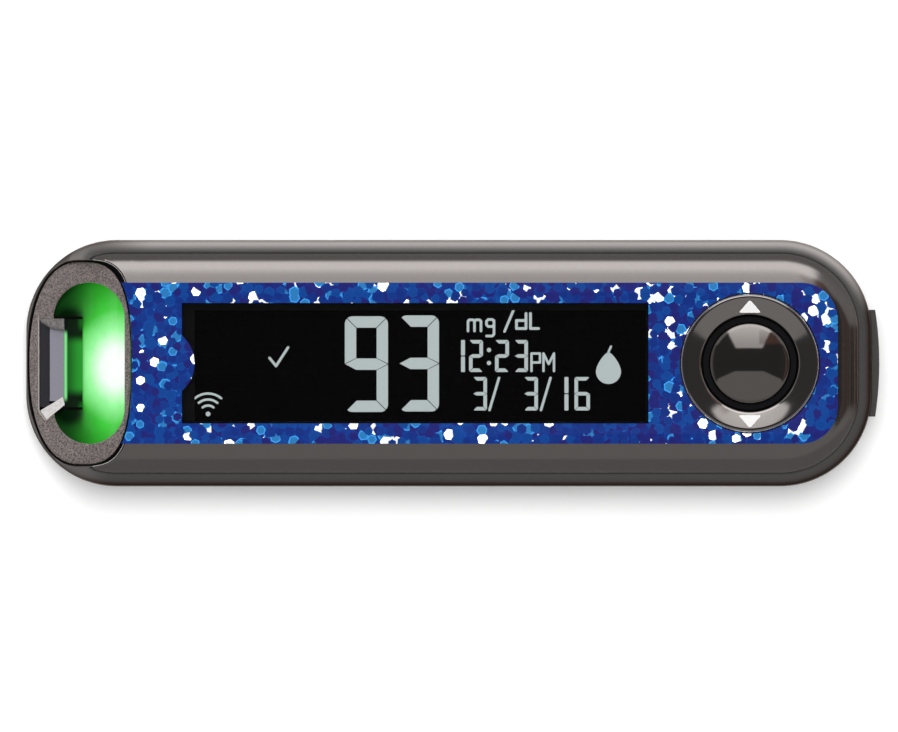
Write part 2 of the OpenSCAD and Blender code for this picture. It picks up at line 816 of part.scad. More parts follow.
// Section of the ring: a low arch over a flat foot
module ring_section() {
    mid = (ring_bore_r + ring_r) / 2;
    arch_r = 6;
    intersection() {
        translate([ring_bore_r, ring_flange_top - ring_flange_t])
            square([ring_band, case_h + ring_rise - ring_flange_top + ring_flange_t]);
        translate([mid, case_h + ring_rise - arch_r]) circle(arch_r);
    }
    translate([ring_bore_r, ring_flange_top - ring_flange_t])
        square([ring_flange_r - ring_bore_r, ring_flange_t]);
}

module scroll_ring() {
    color("#55504e") difference() {
        union() {
            translate([ring_x, 0, 0]) rotate_extrude() ring_section();
            for (side = [-1, 1]) {
                translate([ring_x, side * leg_y, leg_foot])
                    cylinder(d = leg_d, h = pivot_z - leg_foot);
                translate([ring_x + side * (ring_flange_r - 3 * fit_gap), 0, pivot_z])
                    rotate([0, side * 90, 0])
                        cylinder(d = pivot_d, h = carrier_r - ring_flange_r + 2 * fit_gap);
            }
        }
        mark_prisms(mark_depth, mark_gap);
    }
}

// The two triangles on the ring, sunk by depth and grown by grow
module mark_prisms(depth, grow) {
    flatness = 0.58;
    w = mark_w / 2 + grow;
    h = mark_w * flatness;
    for (side = [0, 1]) translate([ring_x, 0, case_h + ring_rise - depth - grow]) mirror([0, side, 0])
        linear_extrude(2) polygon([
            [-w, mark_reach - h - grow], [w, mark_reach - h - grow], [0, mark_reach + grow]
        ]);
}

module arrow_marks() {
    color("#f4f4f2") intersection() {
        mark_prisms(mark_depth - mark_gap, 0);
        translate([ring_x, 0, 0]) rotate_extrude() ring_section();
    }
}

module ok_button() {
    edge_z = case_h + ok_rise - ok_dome;
    dome_r = (pow(ok_r, 2) + pow(ok_dome, 2)) / (2 * ok_dome);
    cap_z = carrier_top + ok_travel + press_clear;
    flange_t = 0.6;
    flange_top = carrier_z - fit_gap;
    color("#3b3836") translate([ring_x, 0, 0]) union() {
        intersection() {
            translate([0, 0, cap_z]) cylinder(r = ok_r, h = case_h + ok_rise - cap_z);
            translate([0, 0, edge_z + ok_dome - dome_r]) sphere(dome_r);
        }
        translate([0, 0, flange_top - fit_gap]) cylinder(d = stem_d, h = cap_z - flange_top + 2 * fit_gap);
        translate([0, 0, flange_top - flange_t]) cylinder(d = stem_d + 2 * stem_flange, h = flange_t);
        translate([0, 0, stem_foot]) cylinder(d = stem_d / 2, h = flange_top - flange_t / 2 - stem_foot);
    }
}

module button_carrier() {
    rim_h = case_inner_z - seat_gap - carrier_z;
    color("#121214") translate([ring_x, 0, 0]) difference() {
        union() {
            translate([0, 0, carrier_z]) cylinder(r = carrier_r, h = carrier_t);
            difference() {
                translate([0, 0, carrier_z]) cylinder(r = carrier_r, h = rim_h);
                translate([0, 0, carrier_z - 1]) cylinder(r = carrier_inner_r, h = rim_h + 2);
            }
            translate([0, 0, carrier_z]) cylinder(r = collar_r, h = case_h - collar_drop - carrier_z);
        }
        translate([0, 0, carrier_top]) cylinder(r = collar_inner_r, h = case_h);
        cylinder(d = stem_d + 2 * pivot_gap, h = case_h);
        for (y = [-leg_y, leg_y]) translate([0, y, 0])
            cylinder(r = leg_d / 2 + leg_room, h = carrier_top + seat_gap);
        translate([0, 0, pivot_z]) rotate([0, 90, 0])
            difference() {
                cylinder(d = pivot_d + 2 * pivot_gap, h = 3 * carrier_r, center = true);
                cylinder(d = 3 * pivot_d, h = 2 * ring_r, center = true);
            }
    }
}

module dome_switches() {
    cap_r = (pow(dome_d / 2, 2) + pow(dome_h, 2)) / (2 * dome_h);
    color("silver") for (y = [-leg_y, 0, leg_y]) translate([ring_x, y, board_top + seat_gap]) intersection() {
        cylinder(d = dome_d, h = dome_h);
        translate([0, 0, dome_h - cap_r]) sphere(cap_r);
    }
}

// ---- Battery ----

module battery_door() {
    tab_x = end_right + tab_out;
    color("#4b4847") difference() {
        union() {
            intersection() {
                case_form();
                door_room(0);
            }
            intersection() {
                block([end_right - wall / 2, -tab_w / 2, tab_z], [tab_x, tab_w / 2, tab_z + tab_h]);
                translate([tab_x - tab_face_r, 0, 0]) cylinder(r = tab_face_r, h = case_h);
            }
        }
        intersection() {
            slab(end_left + wall, end_right - wall, half_w - wall, corner_r - wall,
                wall, case_inner_z, shoulder_r - wall, back_r - wall);
            block([-big, -big, door_t], [big, big, case_h]);
        }
        for (i = [0 : grip_count - 1])
            translate([door_x0 + grip_start + i * grip_pitch, -grip_l / 2, -1])
                cube([grip_w, grip_l, 1 + grip_depth]);
    }
}

module battery_tray() {
    z0 = door_t + door_gap + fit_gap;
    contact_room = side_contact_w / 2 + 4 * fit_gap;
    color("#2b2b2e") difference() {
        intersection() {
            union() {
                for (x = [cell_1_x, cell_2_x]) translate([x, 0, z0]) cylinder(r = tray_r, h = tray_top - z0);
                block([cell_1_x, -cell_d / 4, z0], [cell_2_x, cell_d / 4, tray_top]);
            }
            slab(end_left + wall + fit_gap, end_right - wall - fit_gap, half_w - wall - fit_gap,
                corner_r - wall - fit_gap, wall, case_inner_z, shoulder_r - wall, back_r - wall);
        }
        for (x = [cell_1_x, cell_2_x]) translate([x, 0, 0]) cylinder(r = cell_d / 2 + cell_gap, h = case_h);
        for (x = [cell_1_x - tray_r, cell_2_x + tray_r]) translate([x, 0, 0])
            block([-2 * tray_wall, -contact_room, 0], [2 * tray_wall, contact_room, case_h]);
    }
}

// Coin cell: the wide can below, the narrower lid above
module coin_cell(x) {
    step = 0.35;
    rim = 1.1;
    color("#c8c8c4") translate([x, 0, cell_z]) union() {
        cylinder(d = cell_d, h = cell_h - step);
        translate([0, 0, cell_h - step]) cylinder(d = cell_d - 2 * rim, h = step);
    }
}

module battery_1() {
    coin_cell(cell_1_x);
}

module battery_2() {
    coin_cell(cell_2_x);
}

module battery_contacts_positive() {
    half = side_contact_w / 2;
    color("#d9c27a") for (side = [-1, 1]) {
        cell_x = side < 0 ? cell_1_x : cell_2_x;
        x = cell_x + side * (cell_d / 2 + fit_gap + sheet_t / 2);
        block([x - sheet_t / 2, -half, cell_z + 2 * sheet_t], [x + sheet_t / 2, half, board_z - seat_gap]);
    }
}

module battery_contacts_negative() {
    reach = top_contact_l / 2;
    half = top_contact_w / 2;
    z = cell_z + cell_h + seat_gap;
    top = board_z - seat_gap;
    color("#d9c27a") for (x = [cell_1_x, cell_2_x]) {
        block([x - reach, -half, z], [x + reach, half, z + sheet_t]);
        block([x - reach, -half, z], [x - reach + sheet_t, half, top]);
        block([x - reach - 6 * sheet_t, -half, top - sheet_t], [x - reach, half, top]);
    }
}

// ---- Board ----

module circuit_board() {
    color("#1f6b3a") difference() {
        intersection() {
            plan_block(wall + board_gap, board_z, board_top);
            block([board_x0, -big, 0], [big, big, case_h]);
        }
        at_screws() cylinder(d = screw_d + 3 * fit_gap, h = case_h);
    }
}

// Part under the board, by its middle, its size and its height
module board_part(x, y, size_x, size_y, height) {
    top = board_z - seat_gap;
    block([x - size_x / 2, y - size_y / 2, top - height], [x + size_x / 2, y + size_y / 2, top]);
}

module microcontroller() {
    pin_t = 0.3;
    color("#1a1a1c") board_part(chip_x, chip_y, chip_w, chip_w, chip_t);
    color("silver") for (i = [-4 : 4]) {
        board_part(chip_x + i * pin_pitch, chip_y, pin_w, 2 * chip_half, pin_t);
        board_part(chip_x, chip_y + i * pin_pitch, 2 * chip_half, pin_w, pin_t);
    }
}

module measuring_chip() {
    color("#1a1a1c") board_part(measuring_x, 0, measuring_w, measuring_w, measuring_t);
}

module radio_shield() {
    color("silver") board_part(shield_x, shield_y, shield_l, shield_w, shield_h);
}

module antenna() {
    y = half_w - antenna_side - antenna_w / 2;
    color("ivory") board_part(shield_x, y, antenna_l, antenna_w, antenna_h);
}

module buzzer() {
    top = board_z - seat_gap;
    color("#222224") translate([buzzer_x, 0, top - buzzer_h]) difference() {
        cylinder(d = buzzer_d, h = buzzer_h);
        translate([0, 0, -1]) cylinder(d = buzzer_hole_d, h = 1 + buzzer_h / 3);
    }
}

module clock_crystal() {
    y = chip_y + chip_half + chip_space + crystal_w / 2;
    color("silver") board_part(chip_x, y, crystal_l, crystal_w, crystal_h);
}

module capacitors() {
    row_y = chip_y - chip_half - chip_space - cap_l / 2;
    column_y = measuring_w / 2 + chip_space + cap_w / 2;
    color("#b08d57") {
        for (i = [-1.5 : 1.5]) board_part(chip_x + cap_pitch * i, row_y, cap_w, cap_l, cap_w);
        for (i = [0 : 2], side = [-1, 1])
            board_part(measuring_x, side * (column_y + cap_pitch * i), cap_l, cap_w, cap_w);
    }
}

front_cover();
rear_cover();
case_screws();
rear_label();
port_bezel();
light_pipe();
port_led();
strip_connector();
strip_contacts();
display_window();
decal_skin();
lcd_frame();
lcd_panel();
lcd_backlight();
zebra_connectors();
scroll_ring();
arrow_marks();
ok_button();
button_carrier();
dome_switches();
circuit_board();
battery_door();
battery_tray();
battery_1();
battery_2();
battery_contacts_positive();
battery_contacts_negative();
microcontroller();
measuring_chip();
radio_shield();
antenna();
buzzer();
clock_crystal();
capacitors();
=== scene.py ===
import math

import bmesh
import bpy
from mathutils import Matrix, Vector


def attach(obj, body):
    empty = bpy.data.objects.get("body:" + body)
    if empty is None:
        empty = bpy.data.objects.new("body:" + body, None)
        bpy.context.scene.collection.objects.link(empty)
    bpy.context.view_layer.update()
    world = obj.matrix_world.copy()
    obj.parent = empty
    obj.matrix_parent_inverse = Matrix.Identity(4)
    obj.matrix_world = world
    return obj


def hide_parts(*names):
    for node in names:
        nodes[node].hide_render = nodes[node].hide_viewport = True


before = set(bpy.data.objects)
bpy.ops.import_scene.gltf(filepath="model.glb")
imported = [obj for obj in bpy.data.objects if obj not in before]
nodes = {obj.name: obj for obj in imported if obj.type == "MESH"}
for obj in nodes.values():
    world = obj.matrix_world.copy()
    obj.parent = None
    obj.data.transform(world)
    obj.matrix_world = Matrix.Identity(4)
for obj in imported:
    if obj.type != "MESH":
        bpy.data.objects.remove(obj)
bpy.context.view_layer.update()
mm = 0.001
print("frame loaded, nodes:", len(nodes))


# small helpers for shader trees
def feed(tree, value, socket):
    if isinstance(value, bpy.types.NodeSocket):
        tree.links.new(value, socket)
    else:
        socket.default_value = value


def addNode(tree, kind, inputs=None, **settings):
    node = tree.nodes.new("ShaderNode" + kind)
    for key, value in settings.items():
        setattr(node, key, value)
    for key, value in (inputs or {}).items():
        feed(tree, value, node.inputs[key])
    return node


def calc(tree, operation, *values, clamp=False):
    return addNode(tree, "Math", dict(enumerate(values)), operation=operation, use_clamp=clamp).outputs[0]


def combine(tree, operation, *values):
    # the operation carried over any number of values
    total = values[0]
    for value in values[1:]:
        total = calc(tree, operation, total, value)
    return total


def ramp(tree, value, low, high, start=0.0, end=1.0, smooth=True):
    # value from low..high becomes start..end, eased at both ends
    return addNode(tree, "MapRange", dict(enumerate((value, low, high, start, end))),
                   interpolation_type="SMOOTHSTEP" if smooth else "LINEAR").outputs[0]


def growing(tree, value, limit, rate, least):
    # the least value, and beyond the limit more at this rate
    beyond = calc(tree, "MAXIMUM", calc(tree, "SUBTRACT", value, limit), 0.0)
    return calc(tree, "MULTIPLY_ADD", beyond, rate, least)


def vary(tree, noise, spread, middle):
    # noise from 0..1 becomes the middle value minus..plus the spread
    lift = calc(tree, "MULTIPLY", calc(tree, "SUBTRACT", noise, 0.5), spread)
    return calc(tree, "MULTIPLY_ADD", lift, 2.0, middle)


def vectorCalc(tree, operation, first, second, output=0):
    return addNode(tree, "VectorMath", {0: first, 1: second}, operation=operation).outputs[output]


def scaled(tree, vector, factor):
    return addNode(tree, "VectorMath", {0: vector, "Scale": factor}, operation="SCALE").outputs[0]


def blendColour(tree, factor, first, second, mode="MIX"):
    return addNode(tree, "Mix", {0: factor, 6: first, 7: second}, data_type="RGBA",
                   blend_type=mode).outputs[2]


def colourStops(tree, value, stops, interpolation="LINEAR"):
    node = addNode(tree, "ValToRGB", {0: value})
    band = node.color_ramp
    band.interpolation = interpolation
    for index, (spot, tone) in enumerate(stops):
        stop = band.elements[index] if index < 2 else band.elements.new(spot)
        stop.position = spot
        stop.color = (*tone, 1)
    return node.outputs[0]


def objectPlace(tree):
    return addNode(tree, "TexCoord").outputs["Object"]


def placeInMm(tree):
    return addNode(tree, "SeparateXYZ", {0: scaled(tree, objectPlace(tree), 1 / mm)}).outputs


def awayFrom(tree, place, middle, size):
    # distance in the plane, counted as 1 on the ellipse with these half sizes
    squares = []
    for value, spot, half in zip(place, middle, size):
        share = calc(tree, "DIVIDE", calc(tree, "SUBTRACT", value, spot), half)
        squares.append(calc(tree, "MULTIPLY", share, share))
    return calc(tree, "SQRT", calc(tree, "ADD", *squares))


def seenStraight(tree):
    # 1 where the eye, a gloss or the clear lens looks, 0 for light on its way to a dull surface
    ways = addNode(tree, "LightPath").outputs
    return combine(tree, "MAXIMUM", ways["Is Camera Ray"], ways["Is Glossy Ray"], ways["Is Transmission Ray"])


def newGroup(name, inputs, outputs):
    group = bpy.data.node_groups.new(name, "ShaderNodeTree")
    for label, kind, value in inputs:
        socket = group.interface.new_socket(name=label, in_out="INPUT", socket_type="NodeSocket" + kind)
        socket.default_value = value
    for label, kind in outputs:
        group.interface.new_socket(name=label, in_out="OUTPUT", socket_type="NodeSocket" + kind)
    return group, group.nodes.new("NodeGroupInput").outputs, group.nodes.new("NodeGroupOutput").inputs


def useGroup(tree, group, **values):
    node = tree.nodes.new("ShaderNodeGroup")
    node.node_tree = group
    for key, value in values.items():
        feed(tree, value, node.inputs[key])
    return node.outputs


# node groups shared by the materials
def makeMouldedGroup():
    # grain and slow patches of a moulded or sprayed surface
    group, given, result = newGroup("mouldedSurface", [
        ("Colour", "Color", (0.5, 0.5, 0.5, 1)), ("Spread", "Float", 0.1), ("Grain", "Float", 2500.0),
        ("Roughness", "Float", 0.4), ("RoughSpread", "Float", 0.1)],
        [("Colour", "Color"), ("Roughness", "Float"), ("Height", "Float")])
    place = objectPlace(group)
    grain = addNode(group, "TexNoise", {"Vector": place, "Scale": given["Grain"], "Detail": 4.0,
                                        "Roughness": 0.6}).outputs[0]
    patchScale = calc(group, "MULTIPLY", given["Grain"], 0.06)
    patches = addNode(group, "TexNoise", {"Vector": place, "Scale": patchScale, "Detail": 3.0}).outputs[0]
    feed(group, scaled(group, given["Colour"], vary(group, grain, given["Spread"], 1.0)), result["Colour"])
    feed(group, vary(group, patches, given["RoughSpread"], given["Roughness"]), result["Roughness"])
    feed(group, grain, result["Height"])
    return group


def makeBrushedGroup():
    # fine lines of a brushed, rolled or plated sheet, stretched along one axis
    group, given, result = newGroup("brushedSurface", [
        ("Colour", "Color", (0.6, 0.6, 0.6, 1)), ("Spread", "Float", 0.15),
        ("Stretch", "Vector", (300, 9000, 9000)), ("Roughness", "Float", 0.25),
        ("RoughSpread", "Float", 0.15)],
        [("Colour", "Color"), ("Roughness", "Float"), ("Height", "Float")])
    place = objectPlace(group)
    stretched = vectorCalc(group, "MULTIPLY", place, given["Stretch"])
    lines = addNode(group, "TexNoise", {"Vector": stretched, "Scale": 1.0, "Detail": 3.0}).outputs[0]
    patches = addNode(group, "TexNoise", {"Vector": place, "Scale": 160.0, "Detail": 2.0}).outputs[0]
    mixed = calc(group, "MULTIPLY", calc(group, "ADD", lines, patches), 0.5)
    feed(group, scaled(group, given["Colour"], vary(group, lines, given["Spread"], 1.0)), result["Colour"])
    feed(group, vary(group, mixed, given["RoughSpread"], given["Roughness"]), result["Roughness"])
    feed(group, lines, result["Height"])
    return group


def makeSpeckGroup():
    # tiny bright and dark dots, as in spark-eroded mould texture and metal flake paint
    group, given, result = newGroup("speckledGrain", [
        ("Colour", "Color", (0.2, 0.18, 0.17, 1)), ("Cell", "Float", 5200.0), ("Contrast", "Float", 0.3)],
        [("Colour", "Color"), ("Height", "Float")])
    dots = addNode(group, "TexVoronoi", {"Vector": objectPlace(group), "Scale": given["Cell"]}).outputs
    pick = addNode(group, "SeparateColor", {0: dots["Color"]}).outputs[0]
    feed(group, scaled(group, given["Colour"], vary(group, pick, given["Contrast"], 1.0)), result["Colour"])
    feed(group, calc(group, "SUBTRACT", 1.0, dots["Distance"]), result["Height"])
    return group


def makeFlakeGroup():
    # layers of six-sided flakes, each layer lying over the one before
    flakes = {
        "layers": [(0.0, 0.0, 0.62), (3.37, 7.13, 0.56), (11.9, 2.71, 0.52), (5.83, 17.3, 0.47),
                   (23.1, 9.7, 0.42)],
        "colours": [(0.00, (0.011, 0.014, 0.155)), (0.26, (0.003, 0.025, 0.200)),
                    (0.52, (0.002, 0.050, 0.265)), (0.74, (0.003, 0.032, 0.220)),
                    (0.85, (0.022, 0.185, 0.470)), (0.942, (0.88, 0.92, 0.96))],
        "azureFrom": 0.85, "whiteFrom": 0.942, "sizeSpread": 0.16, "rimFrom": 0.66, "rimTo": 0.92,
        "rimLight": 1.22, "azureRimLight": 0.75, "shuffle": 0.85, "turns": 6.28,
    }
    group, given, result = newGroup("glitterFlakes", [("Scale", "Float", 900.0)],
                                    [("Colour", "Color"), ("White", "Float"), ("Tilt", "Float")])
    flat = vectorCalc(group, "MULTIPLY", objectPlace(group), (1, 1, 0))
    colour = None
    for shiftX, shiftY, reach in flakes["layers"]:
        moved = vectorCalc(group, "ADD", scaled(group, flat, given["Scale"]), (shiftX, shiftY, 0))
        cells = addNode(group, "TexVoronoi", {"Vector": moved, "Scale": 1.0, "Randomness": flakes["shuffle"]},
                        voronoi_dimensions="2D").outputs
        pick, turn, grow = addNode(group, "SeparateColor", {0: cells["Color"]}).outputs
        turned = addNode(group, "VectorRotate", {
            "Vector": vectorCalc(group, "SUBTRACT", moved, cells["Position"]),
            "Angle": calc(group, "MULTIPLY", turn, flakes["turns"])}, rotation_type="Z_AXIS").outputs[0]
        across = []
        for angle in (0, 60, 120):
            way = (math.cos(math.radians(angle)), math.sin(math.radians(angle)), 0)
            across.append(calc(group, "ABSOLUTE", vectorCalc(group, "DOT_PRODUCT", turned, way, "Value")))
        reachNow = combine(group, "MAXIMUM", *across)
        size = calc(group, "MULTIPLY_ADD", grow, flakes["sizeSpread"], reach - flakes["sizeSpread"] / 2)
        inside = calc(group, "LESS_THAN", reachNow, size)
        outside = calc(group, "SUBTRACT", 1.0, inside)
        # the azure ones shine along their rim, the others only a little
        isAzure = calc(group, "GREATER_THAN", pick, flakes["azureFrom"])
        rimTop = calc(group, "MULTIPLY_ADD", isAzure, flakes["azureRimLight"], flakes["rimLight"])
        rim = ramp(group, calc(group, "DIVIDE", reachNow, size), flakes["rimFrom"], flakes["rimTo"],
                   1.0, rimTop)
        shade = scaled(group, colourStops(group, pick, flakes["colours"], "CONSTANT"), rim)
        whiteHere = calc(group, "MULTIPLY", calc(group, "GREATER_THAN", pick, flakes["whiteFrom"]), inside)
        if colour is None:
            colour, white, tilt = shade, whiteHere, turn
        else:
            colour = blendColour(group, inside, colour, shade)
            white = calc(group, "MULTIPLY_ADD", white, outside, whiteHere)
            tilt = calc(group, "MULTIPLY_ADD", tilt, outside, calc(group, "MULTIPLY", turn, inside))
    for label, value in (("Colour", colour), ("White", white), ("Tilt", tilt)):
        feed(group, value, result[label])
    return group


mouldedGroup = makeMouldedGroup()
brushedGroup = makeBrushedGroup()
speckGroup = makeSpeckGroup()
flakeGroup = makeFlakeGroup()
print("node groups made")


# materials
def newMaterial(name, **shaderValues):
    material = bpy.data.materials.new(name)
    material.use_nodes = True
    shader = material.node_tree.nodes["Principled BSDF"]
    for key, value in shaderValues.items():
        shader.inputs[key].default_value = value
    return material, material.node_tree, shader


def dress(tree, shader, colour, roughness):
    feed(tree, colour, shader.inputs["Base Color"])
    feed(tree, roughness, shader.inputs["Roughness"])


def glow(tree, shader, colour):
    feed(tree, colour, shader.inputs["Emission Color"])
    shader.inputs["Emission Strength"].default_value = 1.0


def bumpFrom(tree, shader, height, strength, distance):
    bump = addNode(tree, "Bump", {"Height": height, "Strength": strength, "Distance": distance})
    feed(tree, bump.outputs[0], shader.inputs["Normal"])


def softGrain(tree, colour, spread, grain, rough, roughSpread):
    return useGroup(tree, mouldedGroup, Colour=(*colour, 1), Spread=spread, Grain=grain, Roughness=rough,
                    RoughSpread=roughSpread)


def mouldedMaterial(name, colour, grain=2500.0, spread=0.08, rough=0.4, roughSpread=0.08, bump=0.2,
                    **shaderValues):
    material, tree, shader = newMaterial(name, **shaderValues)
    soft = softGrain(tree, colour, spread, grain, rough, roughSpread)
    dress(tree, shader, soft["Colour"], soft["Roughness"])
    if bump:
        bumpFrom(tree, shader, soft["Height"], bump, 0.02 * mm)
    return material


def brushedMaterial(name, colour, stretch=(300, 9000, 9000), spread=0.15, rough=0.25, metal=1.0):
    material, tree, shader = newMaterial(name, Metallic=metal)
    found = useGroup(tree, brushedGroup, Colour=(*colour, 1), Spread=spread, Stretch=stretch, Roughness=rough,
                     RoughSpread=0.15)
    dress(tree, shader, found["Colour"], found["Roughness"])
    bumpFrom(tree, shader, found["Height"], 0.15, 0.01 * mm)
    return material


def speckledPaint(tree, colour, cell, contrast, **softSettings):
    # specks and soft grain, half and half
    specks = useGroup(tree, speckGroup, Colour=(*colour, 1), Cell=cell, Contrast=contrast)
    soft = softGrain(tree, colour, **softSettings)
    return blendColour(tree, 0.5, specks["Colour"], soft["Colour"]), soft["Roughness"], specks["Height"]


def makeGunmetal(name, colour, rough, flake, side=None):
    # metallic paint with tiny flakes in the colour, smooth and glossy on top
    material, tree, shader = newMaterial(name, **{"Metallic": 1.0, "Specular Tint": (0.35, 0.33, 0.32, 1)})
    paint, roughness, _ = speckledPaint(tree, colour, cell=14000.0, contrast=flake, spread=0.05, grain=1800.0,
                                        rough=rough, roughSpread=0.04)
    if side:
        # painted shade: below the shoulder the paint is darkened to the side tone, less so at the port, in
        # place of the darker reflection there; along the far side just outside the shoulder the full tone
        # comes back as a painted highlight, a soft line of light
        x, y, z = placeInMm(tree)
        paintedHighlight = combine(tree, "MULTIPLY", ramp(tree, y, *side["paintedHighlightY"]), ramp(tree, z, *side["paintedHighlightFoot"]),
                          ramp(tree, z, *side["paintedHighlightTop"]), ramp(tree, x, *side["paintedHighlightLeft"]))
        keep = combine(tree, "MAXIMUM", ramp(tree, z, *side["shoulder"]), ramp(tree, x, *side["portEnd"]),
                       paintedHighlight)
        paint = scaled(tree, paint, ramp(tree, keep, 0, 1, side["tone"], 1.0, smooth=False))
    dress(tree, shader, paint, roughness)
    return material


def makeBezelMaterial():
    material, tree, shader = newMaterial("bezelSparkTexture", Metallic=0.35)
    paint, roughness, height = speckledPaint(tree, (0.212, 0.180, 0.172), cell=8500.0, contrast=1.3,
                                             spread=0.55, grain=7500.0, rough=0.42, roughSpread=0.05)
    dress(tree, shader, paint, roughness)
    bumpFrom(tree, shader, height, 0.5, 0.04 * mm)
    return material


def makeConnectorMaterial():
    # grey guide block, and behind it the mouth with painted light: the pipe's green glow painted on as
    # emission, dimmed to black by painted shade between its middle and its ends
    mouth = {
        "block": (-44.15, -44.09), "band": (-43.96, -43.72), "wall": (-43.84, -42.2), "middleY": -0.3,
        "lineEnds": (3.4, 4.2, 1.0, 0.0), "bandEnds": (2.3, 3.6, 1.0, 0.03),
        "cornersX": (-42.85, -42.2, 0.0, 0.34), "cornersY": (3.6, 4.8),
        "paintedLineLight": (0.20, 0.78, 0.24, 1), "paintedBandLight": (0.008, 0.115, 0.010, 1),
        "paintedWallLight": (0.022, 0.30, 0.026, 1), "inside": (0.002, 0.006, 0.003, 1),
    }
    material, tree, shader = newMaterial("connectorPlasticPaintedLight", **{"Specular IOR Level": 0.2})
    x, y, _ = placeInMm(tree)
    away = calc(tree, "ABSOLUTE", calc(tree, "SUBTRACT", y, mouth["middleY"]))
    behind = ramp(tree, x, *mouth["block"])
    band = ramp(tree, x, *mouth["band"])
    line = calc(tree, "MULTIPLY", calc(tree, "SUBTRACT", behind, band), ramp(tree, away, *mouth["lineEnds"]))
    centre = calc(tree, "MULTIPLY", band, ramp(tree, away, *mouth["bandEnds"]))
    beside = calc(tree, "MULTIPLY", ramp(tree, x, *mouth["cornersX"]), ramp(tree, away, *mouth["cornersY"]))
    paintedGreenLight = blendColour(tree, ramp(tree, x, *mouth["wall"]), mouth["paintedBandLight"], mouth["paintedWallLight"])
    paintedLightAndShade = blendColour(tree, calc(tree, "MAXIMUM", centre, beside), (0, 0, 0, 1), paintedGreenLight)
    glow(tree, shader, blendColour(tree, line, paintedLightAndShade, mouth["paintedLineLight"]))
    soft = softGrain(tree, (0.23, 0.22, 0.27), spread=0.08, grain=3500.0, rough=0.35, roughSpread=0.08)
    # painted shade: near-black colour inside the mouth behind the block
    dress(tree, shader, blendColour(tree, behind, soft["Colour"], mouth["inside"]), soft["Roughness"])
    return material


def makePipeMaterial():
    # translucent bowl lit from behind: white at its right middle, deep green at its ends, and darker at the
    # slot as painted shade
    bowl = {
        "hot": (-38.3, -0.45), "hotSize": (5.2, 7.15), "middleY": -0.35,
        "stops": [(0.0, (1, 1, 1)), (0.15, (0.90, 1.0, 0.92)), (0.30, (0.30, 0.90, 0.32)),
                  (0.46, (0.045, 0.55, 0.040)), (0.60, (0.020, 0.34, 0.014)), (0.85, (0.005, 0.12, 0.005))],
        "paintedShadeToSlot": (-45.6, -41.2, 0.12, 1.0), "paintedEndShade": (-44.2, -39.3, 0.07, 1.0), "endsFrom": (3.2, 6.0),
        "corner": (-43.7, 5.1), "cornerSize": (1.9, 1.8), "paintedCornerShade": (0.5, 1.2, 0.02, 1.0),
        "mouthX": (-42.4, -41.7, 1.0, 0.0), "mouthY": (5.2, 7.9, 1.0, 0.0), "mouthShade": 0.85,
        "resin": (0.008, 0.05, 0.01, 1), "paintedShadeResin": (0.002, 0.012, 0.003, 1),
    }
    material, tree, shader = newMaterial("litPipe", **{"IOR": 1.5, "Specular IOR Level": 0.3})
    x, y, _ = placeInMm(tree)
    soft = softGrain(tree, (1, 1, 1), spread=0.1, grain=900.0, rough=0.3, roughSpread=0.1)
    away = awayFrom(tree, (x, y), bowl["hot"], bowl["hotSize"])
    light = colourStops(tree, calc(tree, "MULTIPLY", away, 0.5), bowl["stops"])
    # painted shade: the glow is darkened towards the slot, more so at both ends, and nearly black in the two
    # corners beside its mouth
    offY = calc(tree, "ABSOLUTE", calc(tree, "SUBTRACT", y, bowl["middleY"]))
    nearEnd = ramp(tree, offY, *bowl["endsFrom"])
    paintedEndShade = calc(tree, "MULTIPLY", ramp(tree, x, *bowl["paintedEndShade"]), nearEnd)
    paintedShadeLeft = calc(tree, "MULTIPLY_ADD", ramp(tree, x, *bowl["paintedShadeToSlot"]),
                    calc(tree, "SUBTRACT", 1.0, nearEnd), paintedEndShade)
    corners = ramp(tree, awayFrom(tree, (x, offY), bowl["corner"], bowl["cornerSize"]), *bowl["paintedCornerShade"])
    paintedShadeBesideMouth = combine(tree, "MULTIPLY", ramp(tree, x, *bowl["mouthX"]), ramp(tree, offY, *bowl["mouthY"]),
                          bowl["mouthShade"])
    keep = combine(tree, "MULTIPLY", calc(tree, "SUBTRACT", 1.0, paintedShadeBesideMouth), paintedShadeLeft, corners)
    glow(tree, shader, blendColour(tree, 1.0, scaled(tree, light, keep), soft["Colour"], "MULTIPLY"))
    # painted shade: the resin's own colour is darkened in the two corners
    resin = blendColour(tree, corners, bowl["paintedShadeResin"], bowl["resin"])
    dress(tree, shader, blendColour(tree, 1.0, resin, soft["Colour"], "MULTIPLY"), soft["Roughness"])
    return material


def makeSkinMaterial():
    material, tree, shader = newMaterial("glitterFilm", **{"Specular IOR Level": 0.3})
    found = useGroup(tree, flakeGroup, Scale=800.0)
    dress(tree, shader, found["Colour"], ramp(tree, found["White"], 0, 1, 0.45, 0.6))
    bumpFrom(tree, shader, found["Tilt"], 0.05, 0.01 * mm)
    return material


def griddedMaterial(name, colour, softSettings, grid, offset=0.5, bump=0.0, **shaderValues):
    # grid of lines over a plain colour, as of electrodes in glass or copper tracks under solder mask
    material, tree, shader = newMaterial(name, **shaderValues)
    lines = addNode(tree, "TexBrick", {"Vector": objectPlace(tree), **grid}, offset=offset).outputs
    soft = softGrain(tree, colour, **softSettings)
    dress(tree, shader, blendColour(tree, 1.0, lines[0], soft["Colour"], "MULTIPLY"), soft["Roughness"])
    if bump:
        bumpFrom(tree, shader, lines[1], bump, 0.02 * mm)
    return material


def makeGlyphMaterial():
    material, tree, shader = newMaterial("displaySegments", Roughness=0.5)
    soft = softGrain(tree, (0.50, 0.56, 0.56), spread=0.05, grain=2500.0, rough=0.5, roughSpread=0.05)
    glow(tree, shader, soft["Colour"])
    dark = blendColour(tree, 1.0, soft["Colour"], (0.06, 0.06, 0.06, 1), "MULTIPLY")
    feed(tree, dark, shader.inputs["Base Color"])
    return material


